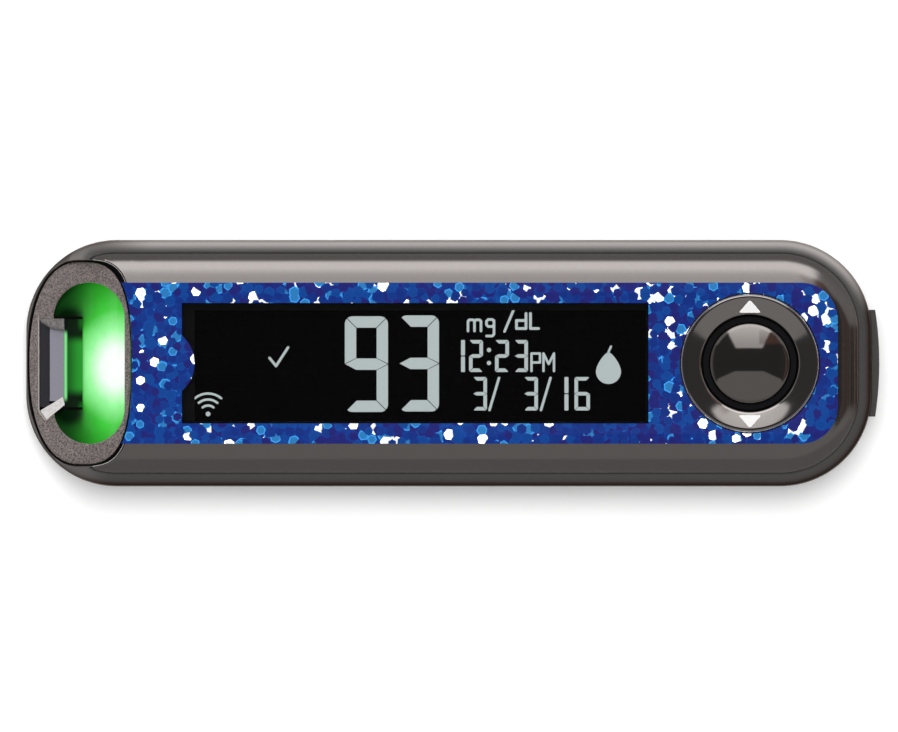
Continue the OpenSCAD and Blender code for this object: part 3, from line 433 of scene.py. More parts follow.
finishes = {
    # painted shade: tone is the darkened side level below the shoulder; the paintedHighlight values set a
    # painted highlight along the far side
    "case_gunmetal": makeGunmetal("glossGunmetalPaintedShade", (0.50, 0.475, 0.465), 0.12, 0.05, side={
        "tone": 0.125, "shoulder": (12.87, 12.95), "portEnd": (-43.5, -38.5, 0.13, 0.0), "paintedHighlightY": (5.0, 12.0),
        "paintedHighlightFoot": (8.6, 9.6), "paintedHighlightTop": (11.1, 12.9, 1.0, 0.0), "paintedHighlightLeft": (-41.0, -33.0, 0.3, 1.0)}),
    "ring_gunmetal": makeGunmetal("ringGunmetal", (0.70, 0.665, 0.645), 0.07, 0.04),
    "button_dark": makeGunmetal("buttonGunmetal", (0.46, 0.435, 0.42), 0.05, 0.03),
    "black_plastic": mouldedMaterial("satinBlackPlastic", (0.005, 0.005, 0.006), rough=0.42,
                                     **{"Specular IOR Level": 0.25}),
    "white_plastic": mouldedMaterial("whitePlastic", (0.75, 0.75, 0.72), rough=0.45),
    "mark_white": mouldedMaterial("markWhiteInk", (0.86, 0.86, 0.85), grain=6000.0, spread=0.03),
    "rubber_grey": brushedMaterial("stripedRubber", (0.09, 0.09, 0.1), stretch=(9000, 100, 100), spread=0.9,
                                   rough=0.6, metal=0.0),
    "spring_steel": brushedMaterial("springSteel", (0.62, 0.62, 0.60), rough=0.28),
    "contact_gold": brushedMaterial("goldFlash", (0.83, 0.62, 0.28), rough=0.24),
    "cell_steel": brushedMaterial("cellSteel", (0.66, 0.66, 0.64), stretch=(5000, 400, 5000), rough=0.22),
    "screw_steel": brushedMaterial("zincScrew", (0.52, 0.52, 0.53), stretch=(4000, 4000, 500), rough=0.3),
    "chip_black": mouldedMaterial("chipResin", (0.02, 0.02, 0.022), grain=6000.0, rough=0.5),
    "ceramic_tan": mouldedMaterial("tanCeramic", (0.45, 0.33, 0.20), grain=5000.0, spread=0.12, rough=0.5),
    "ceramic_white": mouldedMaterial("whiteCeramic", (0.80, 0.79, 0.74), grain=5000.0),
    "lamp_white": mouldedMaterial("lampBody", (0.80, 0.82, 0.70), rough=0.3),
    "label_grey": mouldedMaterial("bareLabelFilm", (0.55, 0.54, 0.52), grain=1500.0, spread=0.04, rough=0.42),
    "window_black": mouldedMaterial("clearLens", (0.93, 0.95, 0.95), grain=300.0, spread=0.01, rough=0.02,
                                    roughSpread=0.01, bump=0, **{"Transmission Weight": 1.0, "IOR": 1.45}),
    "lcd_black": griddedMaterial(
        "displayGlass", (0.0045, 0.0022, 0.003),
        {"spread": 0.3, "grain": 900.0, "rough": 0.12, "roughSpread": 0.05},
        {"Color1": (1, 1, 1, 1), "Color2": (0.9, 0.9, 0.9, 1), "Mortar": (1.35, 1.3, 1.3, 1), "Scale": 250.0,
         "Mortar Size": 0.02}, **{"Specular IOR Level": 0.1}),
    "board_green": griddedMaterial(
        "solderMask", (1, 1, 1), {"spread": 0.1, "grain": 1500.0, "rough": 0.3, "roughSpread": 0.1},
        {"Color1": (0.018, 0.15, 0.065, 1), "Color2": (0.014, 0.12, 0.05, 1), "Mortar": (0.05, 0.27, 0.12, 1),
         "Scale": 420.0, "Mortar Size": 0.05}, offset=0.35, bump=0.2),
    "bezel_textured": makeBezelMaterial(), "pipe_green": makePipeMaterial(),
    "connector_grey": makeConnectorMaterial(), "skin_glitter": makeSkinMaterial(),
}
doorMaterial = mouldedMaterial("satinGunmetal", (0.078, 0.072, 0.069), grain=4000.0, rough=0.3, Metallic=0.4)
# painted highlight: a lighter bezel tone for the strip along the slot's outer edge
paintedEdgeHighlight = mouldedMaterial("paintedEdgeHighlight", (0.40, 0.37, 0.355), grain=5000.0, spread=0.3, rough=0.35)
# painted shade: near-black colour for the slot's floor
slotShade = mouldedMaterial("slotShade", (0.021, 0.020, 0.026), rough=0.5)
brightTrim = brushedMaterial("brightTrim", (0.78, 0.75, 0.74), stretch=(2500, 2500, 2500), spread=0.25,
                             rough=0.22)
maskMaterial = mouldedMaterial("lensMaskInk", (0.006, 0.008, 0.0075), grain=4000.0, rough=0.35)
glyphMaterial = makeGlyphMaterial()
nodes["battery_door"].material_slots[0].material = doorMaterial
for node in nodes.values():
    for held in node.material_slots:
        held.material = finishes.get(held.material.name, held.material)
print("materials made:", len(bpy.data.materials))


# helpers for meshes, in millimetres
def pieceFromBmesh(name, work, material, body, smoothAngle=35):
    bmesh.ops.remove_doubles(work, verts=work.verts, dist=0.0005)
    bmesh.ops.recalc_face_normals(work, faces=work.faces)
    bmesh.ops.scale(work, vec=(mm, mm, mm), verts=work.verts)
    mesh = bpy.data.meshes.new(name)
    work.to_mesh(mesh)
    work.free()
    mesh.shade_smooth()
    mesh.set_sharp_from_angle(angle=math.radians(smoothAngle))
    piece = bpy.data.objects.new(name, mesh)
    bpy.context.scene.collection.objects.link(piece)
    mesh.materials.append(material)
    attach(piece, body)
    return piece


def addBand(work, first, second):
    # faces between two closed rows of the same length
    for index in range(len(first)):
        after = (index + 1) % len(first)
        work.faces.new((first[index], first[after], second[after], second[index]))


def addPrism(work, foot, top):
    # closed block between two outlines
    low = [work.verts.new(point) for point in foot]
    high = [work.verts.new(point) for point in top]
    work.faces.new(low[::-1])
    work.faces.new(high)
    addBand(work, low, high)


def addPlate(work, outline, low, high):
    addPrism(work, [(x, y, low) for x, y in outline], [(x, y, high) for x, y in outline])


def roundCorners(points, radius, steps=5):
    # outline with each corner replaced by a short arc
    result = []
    count = len(points)
    for index in range(count):
        corner = Vector(points[index])
        before = Vector(points[index - 1]) - corner
        after = Vector(points[(index + 1) % count]) - corner
        reach = min(radius, before.length * 0.45, after.length * 0.45)
        first = corner + before.normalized() * reach
        last = corner + after.normalized() * reach
        for step in range(steps + 1):
            share = step / steps
            result.append(tuple(first * (1 - share) ** 2 + corner * (2 * share * (1 - share))
                                + last * share ** 2))
    return result


def boxLoop(left, right, low, high):
    return [(left, low), (right, low), (right, high), (left, high)]


def circleLoop(x, y, radius, count, first=0.0, last=360.0):
    span = last - first
    steps = count if abs(span) >= 360 else count - 1
    return [(x + radius * math.cos(math.radians(first + span * step / steps)),
             y + radius * math.sin(math.radians(first + span * step / steps))) for step in range(count)]


# display graphics, in dots from the upper left corner of the glass, with y counted down
displaySettings = {
    "pitch": 0.113443, "left": -30.743, "top": 6.716, "low": 11.105, "high": 11.14,
    "digits": {"2": "abged", "3": "abgcd", "6": "afgecd", "9": "abcdfg"},
    "bigBars": {"thick": 11.4, "gap": 0.5, "corner": 7.0},
    "smallBars": {"thick": 3.6, "gap": 0.3, "corner": 1.8},
    "bigFigures": [("9", 163.3, 12.3, 206.5, 108.0), ("3", 217.5, 11.4, 257.5, 107.5)],
    "smallFigures": [
        ("2", 287.5, 36, 301.5, 68), ("2", 313.5, 36, 327.5, 68), ("3", 333.0, 36, 346.5, 68),
        ("3", 291.5, 73, 305.5, 106.5), ("3", 342.5, 73, 356.5, 106.5), ("6", 393.0, 73, 408.5, 106.5)],
    "ones": [(279.5, 36, 68), (383.0, 73, 106.5)], "oneWide": 4.0, "oneGap": 0.5, "oneRound": 0.8,
    "colon": [(307.5, 46), (307.5, 59)], "colonRadius": 2.2,
    "radioDot": (26.5, 110), "radioDotRadius": 2.4, "radioArcs": (8.5, 14.5, 20.5),
    "radioStroke": 2.3, "radioSpan": (-130, -50),
    "strokes": [
        ([(88, 54), (94.5, 62), (106.5, 43.5)], 2.6),  # check mark
        ([(286.5, 27), (286.5, 17.3), (288, 15.8), (291.5, 15.8), (293, 17.3), (293, 27)], 2.6),  # m
        ([(293, 17.3), (294.5, 15.8), (298, 15.8), (299.5, 17.3), (299.5, 27)], 2.6),
        ([(312.5, 20.7), (310.8, 22.5), (306.7, 22.5), (305, 20.7), (305, 17.3), (306.7, 15.5), (310.8, 15.5),
          (312.5, 17.3)], 2.6),  # g
        ([(312.5, 16.5), (312.5, 30.2), (310.8, 32), (305, 32)], 2.6),
        ([(323, 27.5), (332.5, 5)], 2.6),  # stroke of the unit
        ([(344.5, 9.5), (344.5, 24.5), (335, 24.5), (335, 16.5), (344.5, 16.5)], 2.8),  # d
        ([(349, 9.5), (349, 24.5), (357, 24.5)], 2.8),  # L
        ([(350, 67), (350, 49.5), (358.5, 49.5), (358.5, 58.5), (350, 58.5)], 2.4),  # P
        ([(362, 67), (362, 49.5), (367.2, 60), (372.5, 49.5), (372.5, 67)], 2.4),  # M
        ([(308.0, 106), (317.5, 74)], 2.6), ([(359.5, 106), (369, 74)], 2.6),  # strokes of the date
        ([(427, 48), (429.5, 42.5)], 2.2),  # stalk of the pear
    ],
    "pear": {"x": 427, "y": 67.5, "wide": 12.6, "narrower": 5.2, "above": 19, "below": 12.5},
}


def addGlyph(work, outline):
    left, top, pitch = (displaySettings[key] for key in ("left", "top", "pitch"))
    addPlate(work, [(left + u * pitch, top - v * pitch) for u, v in outline],
             displaySettings["low"], displaySettings["high"])


def addStroke(work, points, width):
    # line of constant width with rounded ends, one plate for each stretch
    for start, end in zip(points, points[1:]):
        angle = math.degrees(math.atan2(end[1] - start[1], end[0] - start[0]))
        addGlyph(work, circleLoop(*end, width / 2, 7, angle - 90, angle + 90)
                 + circleLoop(*start, width / 2, 7, angle + 90, angle + 270))


def addSevenSegment(work, left, top, right, bottom, lit, thick, gap, corner):
    # bars with rounded outer corners, parted by fine diagonal gaps
    middle = (top + bottom) / 2
    half = thick / 2
    inLeft, inRight = left + thick, right - thick

    def arc(x, first, last, shiftX, shiftY):
        return circleLoop(x + shiftX, top + corner + shiftY, corner, 5, first, last)

    def flipped(points, overX, overY):
        return [(left + right - x if overX else x, top + bottom - y if overY else y) for x, y in points]

    bar = arc(left + corner, -135, -90, gap, 0) + arc(right - corner, -90, -45, -gap, 0)
    bar += [(inRight - gap, top + thick), (inLeft + gap, top + thick)]
    side = arc(left + corner, 180, 225, 0, gap)
    side += [(inLeft, top + thick + gap), (inLeft, middle - half - gap), (left, middle - gap)]
    shapes = {
        "a": bar, "b": flipped(side, True, False), "c": flipped(side, True, True),
        "d": flipped(bar, False, True), "e": flipped(side, False, True), "f": side,
        "g": [(left + gap, middle), (inLeft, middle - half), (inRight, middle - half), (right - gap, middle),
              (inRight, middle + half), (inLeft, middle + half)],
    }
    for name in lit:
        addGlyph(work, shapes[name])


def makeDisplayGraphics():
    display = displaySettings
    work = bmesh.new()
    for figures, bars in (("bigFigures", "bigBars"), ("smallFigures", "smallBars")):
        for figure, *box in display[figures]:
            addSevenSegment(work, *box, lit=display["digits"][figure], **display[bars])
    for left, top, bottom in display["ones"]:
        middle = (top + bottom) / 2
        right = left + display["oneWide"]
        for low, high in ((top, middle - display["oneGap"]), (middle + display["oneGap"], bottom)):
            addGlyph(work, roundCorners(boxLoop(left, right, low, high), display["oneRound"], 3))
    for u, v in display["colon"]:
        addGlyph(work, circleLoop(u, v, display["colonRadius"], 16))
    for points, width in display["strokes"]:
        addStroke(work, points, width)
    # radio state: a dot under three plain arcs
    addGlyph(work, circleLoop(*display["radioDot"], display["radioDotRadius"], 16))
    for radius in display["radioArcs"]:
        addStroke(work, circleLoop(*display["radioDot"], radius, 9, *display["radioSpan"]),
                  display["radioStroke"])
    # meal mark: a plain pear
    pear = display["pear"]
    outline = []
    for step in range(40):
        turn = step * math.pi / 20
        width = pear["wide"] - pear["narrower"] * max(0, math.cos(turn)) ** 1.5
        height = pear["above"] if math.cos(turn) > 0 else pear["below"]
        outline.append((pear["x"] + width * math.sin(turn), pear["y"] - height * math.cos(turn)))
    addGlyph(work, outline)
    graphics = pieceFromBmesh("displayGraphics", work, glyphMaterial, "root")


makeDisplayGraphics()
print("display graphics made")


# case: shell, deck and skin
caseSettings = {
    "left": -48.485, "right": 47.585, "half": 14.0, "corner": 10.4, "top": 14.25, "shoulder": 4.6,
    "bottom": 3.2, "slope": 0.8693, "slopeStart": -36.585, "innerInset": 5.7, "rim": 0.22, "wall": 1.0,
    "crownStart": 3.9, "crownHold": 5.0, "crownEnd": 6.4, "crownEase": 0.92,
    "slant": (0.1, 3.4, 1.8, 0.3, 1.9), "slantReach": 8.5, "ovalRibs": 64, "ovalEnd": -36.0,
    "sideRibs": (-35.4, 1.6, 45), "sideRim": 0.05, "mostShare": 0.4, "footUnder": 0.7, "footLeast": 4.0,
    "sideFoot": 0.9,
}
ovalSettings = {"x": -42.335, "long": 5.85, "wide": 11.55, "rightPower": 2 / 3, "leftPower": 2 / 2.3,
                "gap": 0.08, "widerAbove": 0.42, "widerBelow": 0.22, "widestAt": 52, "widerSpan": 40}


def slopeHeight(x):
    return caseSettings["top"] + (x - caseSettings["slopeStart"]) * caseSettings["slope"]


def insetOf(x, y):
    # distance inward from the outline of the case
    left, right, half, corner = (caseSettings[key] for key in ("left", "right", "half", "corner"))
    overX = abs(x - (left + right) / 2) - ((right - left) / 2 - corner)
    overY = abs(y) - (half - corner)
    return corner - math.hypot(max(overX, 0), max(overY, 0)) - min(max(overX, overY), 0)


def roundedDrop(inset, radius):
    reach = max(0.0, radius - inset)
    return radius - math.sqrt(max(0.0, radius * radius - reach * reach))


def crownDrop(inset):
    # how far the shoulder lies under the flat top: a round edge, then a gentle crown that fades out
    radius, start, hold, end = (caseSettings[key] for key in (
        "shoulder", "crownStart", "crownHold", "crownEnd"))
    steep = (radius - start) / radius
    gentle = steep * caseSettings["crownEase"]
    if inset >= end:
        return 0.0
    if inset >= hold:
        return gentle * (end - inset) ** 2 / (2 * (end - hold))
    fade = gentle * (end - hold) / 2
    if inset >= start:
        slope = steep + (gentle - steep) * (inset - start) / (hold - start)
        return fade + (slope + gentle) / 2 * (hold - inset)
    return (fade + (steep + gentle) / 2 * (hold - start)
            + roundedDrop(inset, radius) - roundedDrop(start, radius))


def shellHeight(x, y):
    # shoulder all round, running softly into the slanted end
    inset = max(0.0, insetOf(x, y))
    shoulder = caseSettings["top"] - crownDrop(inset)
    lift, rise, power, edge, growth = caseSettings["slant"]
    share = max(0.0, (x - caseSettings["left"]) / caseSettings["slantReach"])
    slanted = (slopeHeight(x) + lift + rise * share ** power
               - roundedDrop(inset, edge + growth * min(share, 1.0)))
    near = max(1.0 - abs(shoulder - slanted), 0.0)
    return min(shoulder, slanted) - near * near / 4


def ovalPoint(turn, grow):
    across, along = math.cos(math.radians(turn)), math.sin(math.radians(turn))
    power = ovalSettings["rightPower"] if across > 0 else ovalSettings["leftPower"]
    return (ovalSettings["x"] + math.copysign((ovalSettings["long"] + grow) * abs(across) ** power, across),
            math.copysign((ovalSettings["wide"] + grow) * abs(along) ** power, along))


def grooveGrow(turn):
    # the groove round the bezel opens into a crescent on its two right-hand shoulders
    folded = (turn + 180) % 360 - 180
    bump = max(0.0, 1 - ((abs(folded) - ovalSettings["widestAt"]) / ovalSettings["widerSpan"]) ** 2)
    return ovalSettings["gap"] + bump * bump * ovalSettings["widerAbove" if folded > 0 else "widerBelow"]


def evenly(points, count):
    # the same path with count points at equal steps
    steps = [0.0]
    for start, end in zip(points, points[1:]):
        steps.append(steps[-1] + math.dist(start, end))
    result, index = [], 0
    for number in range(count):
        goal = steps[-1] * number / (count - 1)
        while index < len(points) - 2 and steps[index + 1] < goal:
            index += 1
        share = min(max((goal - steps[index]) / max(steps[index + 1] - steps[index], 1e-9), 0.0), 1.0)
        start, end = points[index], points[index + 1]
        result.append((start[0] + (end[0] - start[0]) * share, start[1] + (end[1] - start[1]) * share))
    return result


def shellRibs():
    # pairs of outer and inner points, from the left middle over the far side to the right middle
    left, right, half, corner = (caseSettings[key] for key in ("left", "right", "half", "corner"))
    inset, count = caseSettings["innerInset"], caseSettings["ovalRibs"]
    arc = circleLoop(left + corner, half - corner, corner, 31, 180, 90)
    outer = evenly([(left, 0.0)] + arc + [(caseSettings["ovalEnd"], half)], count)
    ends = []
    for sign in (1, -1):
        oval = [ovalPoint(turn / 2, grooveGrow(sign * turn / 2)) for turn in range(360, 72, -1)]
        ends.append([(start, goal, True) for start, goal in zip(outer, evenly(oval, count))])
    first, pitch, number = caseSettings["sideRibs"]
    ribs = [((x, half), (x, half - inset), False) for x in (first + pitch * step for step in range(number))]
    middle = (right - corner, half - corner)
    for turn in range(90, -1, -4):
        across, along = math.cos(math.radians(turn)), math.sin(math.radians(turn))
        ribs.append(((middle[0] + corner * across, middle[1] + corner * along),
                     (middle[0] + (corner - inset) * across, middle[1] + (corner - inset) * along), False))
    ribs += [((right, y), (right - inset, y), False) for y in (1.8, 0.0)]
    below = [((p[0], -p[1]), (q[0], -q[1]), atOval) for p, q, atOval in (ends[1] + ribs)[-2:0:-1]]
    return ends[0] + ribs + below


def makeShell():
    bottom, thick, most = (caseSettings[key] for key in ("bottom", "wall", "mostShare"))
    work = bmesh.new()
    columns = []
    for outer, inner, atOval in shellRibs():
        start, goal = Vector(outer), Vector(inner)
        length = (goal - start).length
        way = (goal - start).normalized()
        rim = min(caseSettings["rim"], length * most) if atOval else caseSettings["sideRim"]
        reach = length - rim
        edge = shellHeight(*outer)
        points = [(outer[0], outer[1], bottom + (edge - bottom) * part) for part in (0.0, 0.5, 0.9)]
        for step in range(21):
            spot = start + way * (reach * (1 - math.cos(math.radians(step * 4.5))))
            points.append((spot.x, spot.y, shellHeight(spot.x, spot.y)))
        last = points[-1]
        for turn in (22.5, 45, 67.5, 90):
            along = rim * math.sin(math.radians(turn))
            drop = rim * (1 - math.cos(math.radians(turn)))
            points.append((last[0] + way.x * along, last[1] + way.y * along, last[2] - drop))
        foot = last[2] - caseSettings["sideFoot"]
        if atOval:
            foot = max(slopeHeight(inner[0]), caseSettings["footLeast"]) - caseSettings["footUnder"]
        points.append((points[-1][0], points[-1][1], min(foot, points[-1][2] - 0.1)))
        # back along the inside of the wall, down to the joint with the lower shell
        wall = min(thick, length * most)
        for step in range(10, -1, -1):
            spot = start + way * (wall + (reach - wall) * (1 - math.cos(math.radians(step * 9))))
            height = shellHeight(spot.x, spot.y) - min(thick, 0.1 + length * most)
            points.append((spot.x, spot.y, max(height, bottom + 0.02)))
        points.append((start.x + way.x * wall, start.y + way.y * wall, bottom))
        columns.append([work.verts.new(point) for point in points])
    for column, after in zip(columns, columns[1:] + columns[:1]):
        addBand(work, column, after)
    shell = pieceFromBmesh("upperShell", work, finishes["case_gunmetal"], "root", 50)
    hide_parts("front_cover")


def curvePlate(name, loops, low, high, bevel, material, lift=None):
    # flat plate with holes and softened edges, made from a filled curve
    curve = bpy.data.curves.new(name + "Curve", "CURVE")
    curve.dimensions = "2D"
    curve.fill_mode = "BOTH"
    curve.extrude = ((high - low) / 2 - bevel) * mm
    curve.bevel_depth = bevel * mm
    curve.bevel_resolution = 2
    curve.offset = -bevel * mm
    for loop in loops:
        spline = curve.splines.new("POLY")
        spline.points.add(len(loop) - 1)
        for point, (x, y) in zip(spline.points, loop):
            point.co = (x * mm, y * mm, 0, 1)
        spline.use_cyclic_u = True
    holder = bpy.data.objects.new(name + "Holder", curve)
    mesh = bpy.data.meshes.new_from_object(holder)
    bpy.data.objects.remove(holder)
    work = bmesh.new()
    work.from_mesh(mesh)
    bpy.data.meshes.remove(mesh)
    bmesh.ops.scale(work, vec=(1 / mm, 1 / mm, 1 / mm), verts=work.verts)
    bmesh.ops.remove_doubles(work, verts=work.verts, dist=0.002)
    for vert in work.verts:
        vert.co.z += (low + high) / 2 + (lift(vert.co.x) if lift else 0.0)
    return pieceFromBmesh(name, work, material, "root", 40)


def mirrored(points):
    # the outline's upper half, and the same below, without the first point again
    return points + [(x, -y) for x, y in points[:0:-1]]


deckSettings = {"low": 12.96, "high": 14.25, "window": (-31.385, 22.915, -7.52, 7.52), "ringHole": 8.0,
                "edge": 0.03}
skinSettings = {
    "half": 9.13, "right": 43.685, "corner": 4.2, "low": 14.1, "high": 14.4, "gap": 0.13, "edge": 0.03,
    "view": (-30.685, 22.215, 6.82), "tongueX": -33.435, "tongueR": 4.2, "ringX": 33.715, "ringHole": 7.97,
    "ringSteps": 120,
}
maskSettings = {"outer": (-31.9, 23.4, -8.05, 8.05), "inner": (-29.25, 21.95, -6.55, 6.0), "low": 12.155,
                "high": 12.19, "edge": 0.002}


def makeDeck():
    deck = deckSettings
    inset = caseSettings["innerInset"]
    corner = caseSettings["corner"] - inset
    middle = (caseSettings["right"] - caseSettings["corner"], caseSettings["half"] - caseSettings["corner"])
    upper = [ovalPoint(turn / 2, max(grooveGrow(turn / 2), grooveGrow(-turn / 2)))
             for turn in range(0, 73, 3)]
    side = [(caseSettings["ovalEnd"], caseSettings["half"] - inset)] + circleLoop(*middle, corner, 14, 90, 0)
    outline = mirrored(upper + side)
    hole = circleLoop(skinSettings["ringX"], 0, deck["ringHole"], skinSettings["ringSteps"])
    piece = curvePlate("deckPlate", [outline, boxLoop(*deck["window"]), hole], deck["low"], deck["high"],
                       deck["edge"], finishes["case_gunmetal"])


def makeSkin():
    skin = skinSettings
    upper = [ovalPoint(turn / 2, skin["gap"]) for turn in range(0, 120, 2)]
    upper = [point for point in upper if point[1] < skin["half"] - 0.1]
    corner = circleLoop(skin["right"] - skin["corner"], skin["half"] - skin["corner"], skin["corner"],
                        16, 90, 0)
    sheet = mirrored(upper + [(upper[-1][0] - 0.12, skin["half"])] + corner)
    left, end, wide = skin["view"]
    lean = math.degrees(math.acos((left - skin["tongueX"]) / skin["tongueR"]))
    tongue = circleLoop(skin["tongueX"], 0, skin["tongueR"], 17, lean, -lean)
    view = [(left, wide)] + tongue + [(left, -wide), (end, -wide), (end, wide)]
    ring = circleLoop(skin["ringX"], 0, skin["ringHole"], skin["ringSteps"])
    piece = curvePlate("glitterSkin", [sheet, view, ring], skin["low"], skin["high"], skin["edge"],
                       finishes["skin_glitter"])
    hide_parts("decal_skin")


def makeLensMask():
    mask = maskSettings
    piece = curvePlate("lensMask", [boxLoop(*mask["outer"]), boxLoop(*mask["inner"])],
                       mask["low"], mask["high"], mask["edge"], maskMaterial)


makeShell()
makeDeck()
makeSkin()
makeLensMask()
print("case pieces made")


# strip port
portSettings = {
    "bowlLeft": -45.335, "bowlRight": -37.185, "bowlHalf": 9.15, "thick": 1.3,
    "notchLeft": -46.95, "notchHalf": 5.1, "notchLower": [(-46.95, -5.3), (-46.73, -5.65), (-46.13, -6.44)],
    "floor": (-46.9, -45.83, -5.0, 5.0), "floorLow": 4.75, "floorHigh": 4.95, "floorRound": 0.15,
    "bezelGrow": -0.05, "cheekFoot": 4.5,
    "cheeks": [
        [(-46.93, -5.42, 5.2), (-46.72, -5.66, 5.4), (-46.14, -6.42, 5.9), (-44.07, -4.74, 7.3),
         (-44.3, -3.83, 6.2)],
        [(-46.93, 5.06, 5.2), (-46.93, 4.75, 5.05), (-45.57, 3.93, 6.15), (-44.14, 3.79, 6.75),
         (-44.14, 5.06, 7.5)]],
    "edgeOuter": [(-47.12, 5.6), (-47.14, 4.6), (-47.14, -5.3), (-46.86, -5.86), (-46.36, -6.5),
                  (-46.05, -6.52)],
    "edgeInner": [(-47.04, 5.5), (-47.01, 4.5), (-47.01, -5.25), (-46.76, -5.74), (-46.2, -6.44),
                  (-46.0, -6.38)],
    "edgeLow": -0.2, "edgeHigh": 0.03, "bezelEdge": 0.1, "shadeSheetWide": 0.22, "shadeSheetLow": -1.05,
    "shadeSheetHigh": -0.78, "shadeSheetEdge": 0.01,
}


def makeBezel():
    port = portSettings
    radius = (port["bowlRight"] - port["bowlLeft"]) / 2
    middle, reach = port["bowlLeft"] + radius, port["bowlHalf"] - radius
    hole = circleLoop(middle, reach, radius, 33, 0, 180) + [
        (port["bowlLeft"], port["notchHalf"] - 0.05), (port["notchLeft"] + 0.25, port["notchHalf"]),
        (port["notchLeft"], port["notchHalf"] - 0.25)]
    hole += port["notchLower"] + circleLoop(middle, -reach, radius, 32, 190, 360)
    oval = [ovalPoint(step * 2.5 + 1.25, port["bezelGrow"]) for step in range(144)]
    bezel = curvePlate("portBezel", [oval, hole], -port["thick"], 0.0, port["bezelEdge"],
                       finishes["bezel_textured"], lift=slopeHeight)
    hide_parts("port_bezel")


def makeSlot():
    # floor of the slot's way in, near black as painted shade, and the two cheeks that guide the strip
    port = portSettings
    work = bmesh.new()
    addPlate(work, roundCorners(boxLoop(*port["floor"]), port["floorRound"]),
             port["floorLow"], port["floorHigh"])
    floor = pieceFromBmesh("slotFloor", work, slotShade, "root")
    work = bmesh.new()
    for corners in port["cheeks"]:
        addPrism(work, [(x, y, port["cheekFoot"]) for x, y, z in corners], corners)
    cheeks = pieceFromBmesh("slotCheeks", work, brightTrim, "root")
    # painted highlight: a fine lighter strip along the outside edge of the slot, in place of the light caught
    # on that edge
    work = bmesh.new()
    outline = port["edgeOuter"] + port["edgeInner"][::-1]
    base = [work.verts.new((x, y, slopeHeight(x) + port["edgeLow"])) for x, y in outline]
    top = [work.verts.new((x, y, slopeHeight(x) + port["edgeHigh"])) for x, y in outline]
    for index in range(len(port["edgeOuter"]) - 1):
        far = len(outline) - 1 - index
        work.faces.new((top[index], top[index + 1], top[far - 1], top[far]))
        work.faces.new((base[index + 1], base[index], base[far], base[far - 1]))
    addBand(work, base, top)
    trim = pieceFromBmesh("slotEdgePaintedHighlight", work, paintedEdgeHighlight, "root")


def makeGrooveShadeSheet():
    # painted shade: a black sheet under the groove, so that the gap reads dark and no green shows beside the
    # bezel
    port = portSettings
    outer = [ovalPoint(turn, grooveGrow(turn) + port["shadeSheetWide"]) for turn in range(-96, 97, 3)]
    inner = [ovalPoint(turn, 0.0) for turn in range(96, -97, -3)]
    shadeSheet = curvePlate("grooveShadeSheet", [outer + inner], port["shadeSheetLow"], port["shadeSheetHigh"], port["shadeSheetEdge"],
                       finishes["black_plastic"], lift=slopeHeight)


makeBezel()
makeSlot()
makeGrooveShadeSheet()
print("port pieces made")


# ring, button and marks
ringSettings = {
    "x": 33.715, "outer": 7.85, "inner": 5.5, "top": 14.7, "fall": 0.36, "rim": 0.28, "foot": 11.85,
    "flange": 8.5, "flangeTop": 12.45, "pinFoot": 8.71, "pinTop": 11.9, "pinRadius": 0.7, "pinY": 6.575,
    "ease": 0.15, "bevel": 0.05, "lip": [(0.05, 0.06), (0, 0.18)], "steps": 144, "pinSteps": 24,
}
markSettings = {"shapes": [(1, 7.2, 5.72, 1.28), (-1, 7.38, 5.88, 1.33)], "round": 0.3, "sink": 0.1,
                "rise": 0.012}
buttonSettings = {"radius": 4.55, "edge": 14.2, "top": 14.85, "rim": 0.16,
                  "turn": [(0.07, 0.05), (0.015, 0.13), (0, 0.25)],
                  "stem": [(4.55, 11.85), (1.5, 11.85), (1.5, 10.45), (2.3, 10.45), (2.3, 9.85), (0.75, 9.85),
                           (0.75, 8.8), (0, 8.8)]}


def addLathe(work, profile, x, y, steps, closed):
    # profile of (radius, height) points turned about a vertical axis
    rings = []
    for radius, height in profile:
        if radius < 1e-6:
            rings.append([work.verts.new((x, y, height))])
        else:
            rings.append([work.verts.new((px, py, height)) for px, py in circleLoop(x, y, radius, steps)])
    for first, second in zip(rings, rings[1:] + rings[:1] if closed else rings[1:]):
        if len(first) > 1 and len(second) > 1:
            addBand(work, first, second)
            continue
        tip, rim = (first[0], second) if len(first) == 1 else (second[0], first)
        for step in range(steps):
            work.faces.new((tip, rim[step], rim[(step + 1) % steps]))


def ringTop(radius):
    # the ring's face falls towards the button, a little steeper at its inner edge
    share = ((ringSettings["outer"] - ringSettings["rim"] - radius)
             / (ringSettings["outer"] - ringSettings["inner"]))
    return ringSettings["top"] - ringSettings["fall"] * (0.75 * share + 0.25 * share * share)


def makeRing():
    ring = ringSettings
    work = bmesh.new()
    edge, inner = ring["outer"] - ring["rim"], ring["inner"] + ring["ease"]
    profile = [(ring["flange"], ring["foot"]), (ring["flange"], ring["flangeTop"] - ring["bevel"]),
               (ring["flange"] - ring["bevel"], ring["flangeTop"]), (ring["outer"], ring["flangeTop"])]
    for step in range(6):
        turn = math.radians(step * 18)
        profile.append((edge + ring["rim"] * math.cos(turn),
                        ring["top"] - ring["rim"] * (1 - math.sin(turn))))
    for step in range(1, 10):
        radius = edge + (inner - edge) * step / 9
        profile.append((radius, ringTop(radius)))
    profile += [(ring["inner"] + outward, ringTop(inner) - drop) for outward, drop in ring["lip"]]
    addLathe(work, profile + [(ring["inner"], ring["foot"])], ring["x"], 0, ring["steps"], True)
    pin = [(0, ring["pinFoot"]), (ring["pinRadius"], ring["pinFoot"]), (ring["pinRadius"], ring["pinTop"]),
           (0, ring["pinTop"])]
    for side in (-1, 1):
        addLathe(work, pin, ring["x"], side * ring["pinY"], ring["pinSteps"], False)
    piece = pieceFromBmesh("rockerRing", work, finishes["ring_gunmetal"], "scroll_ring", 40)
    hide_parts("scroll_ring")


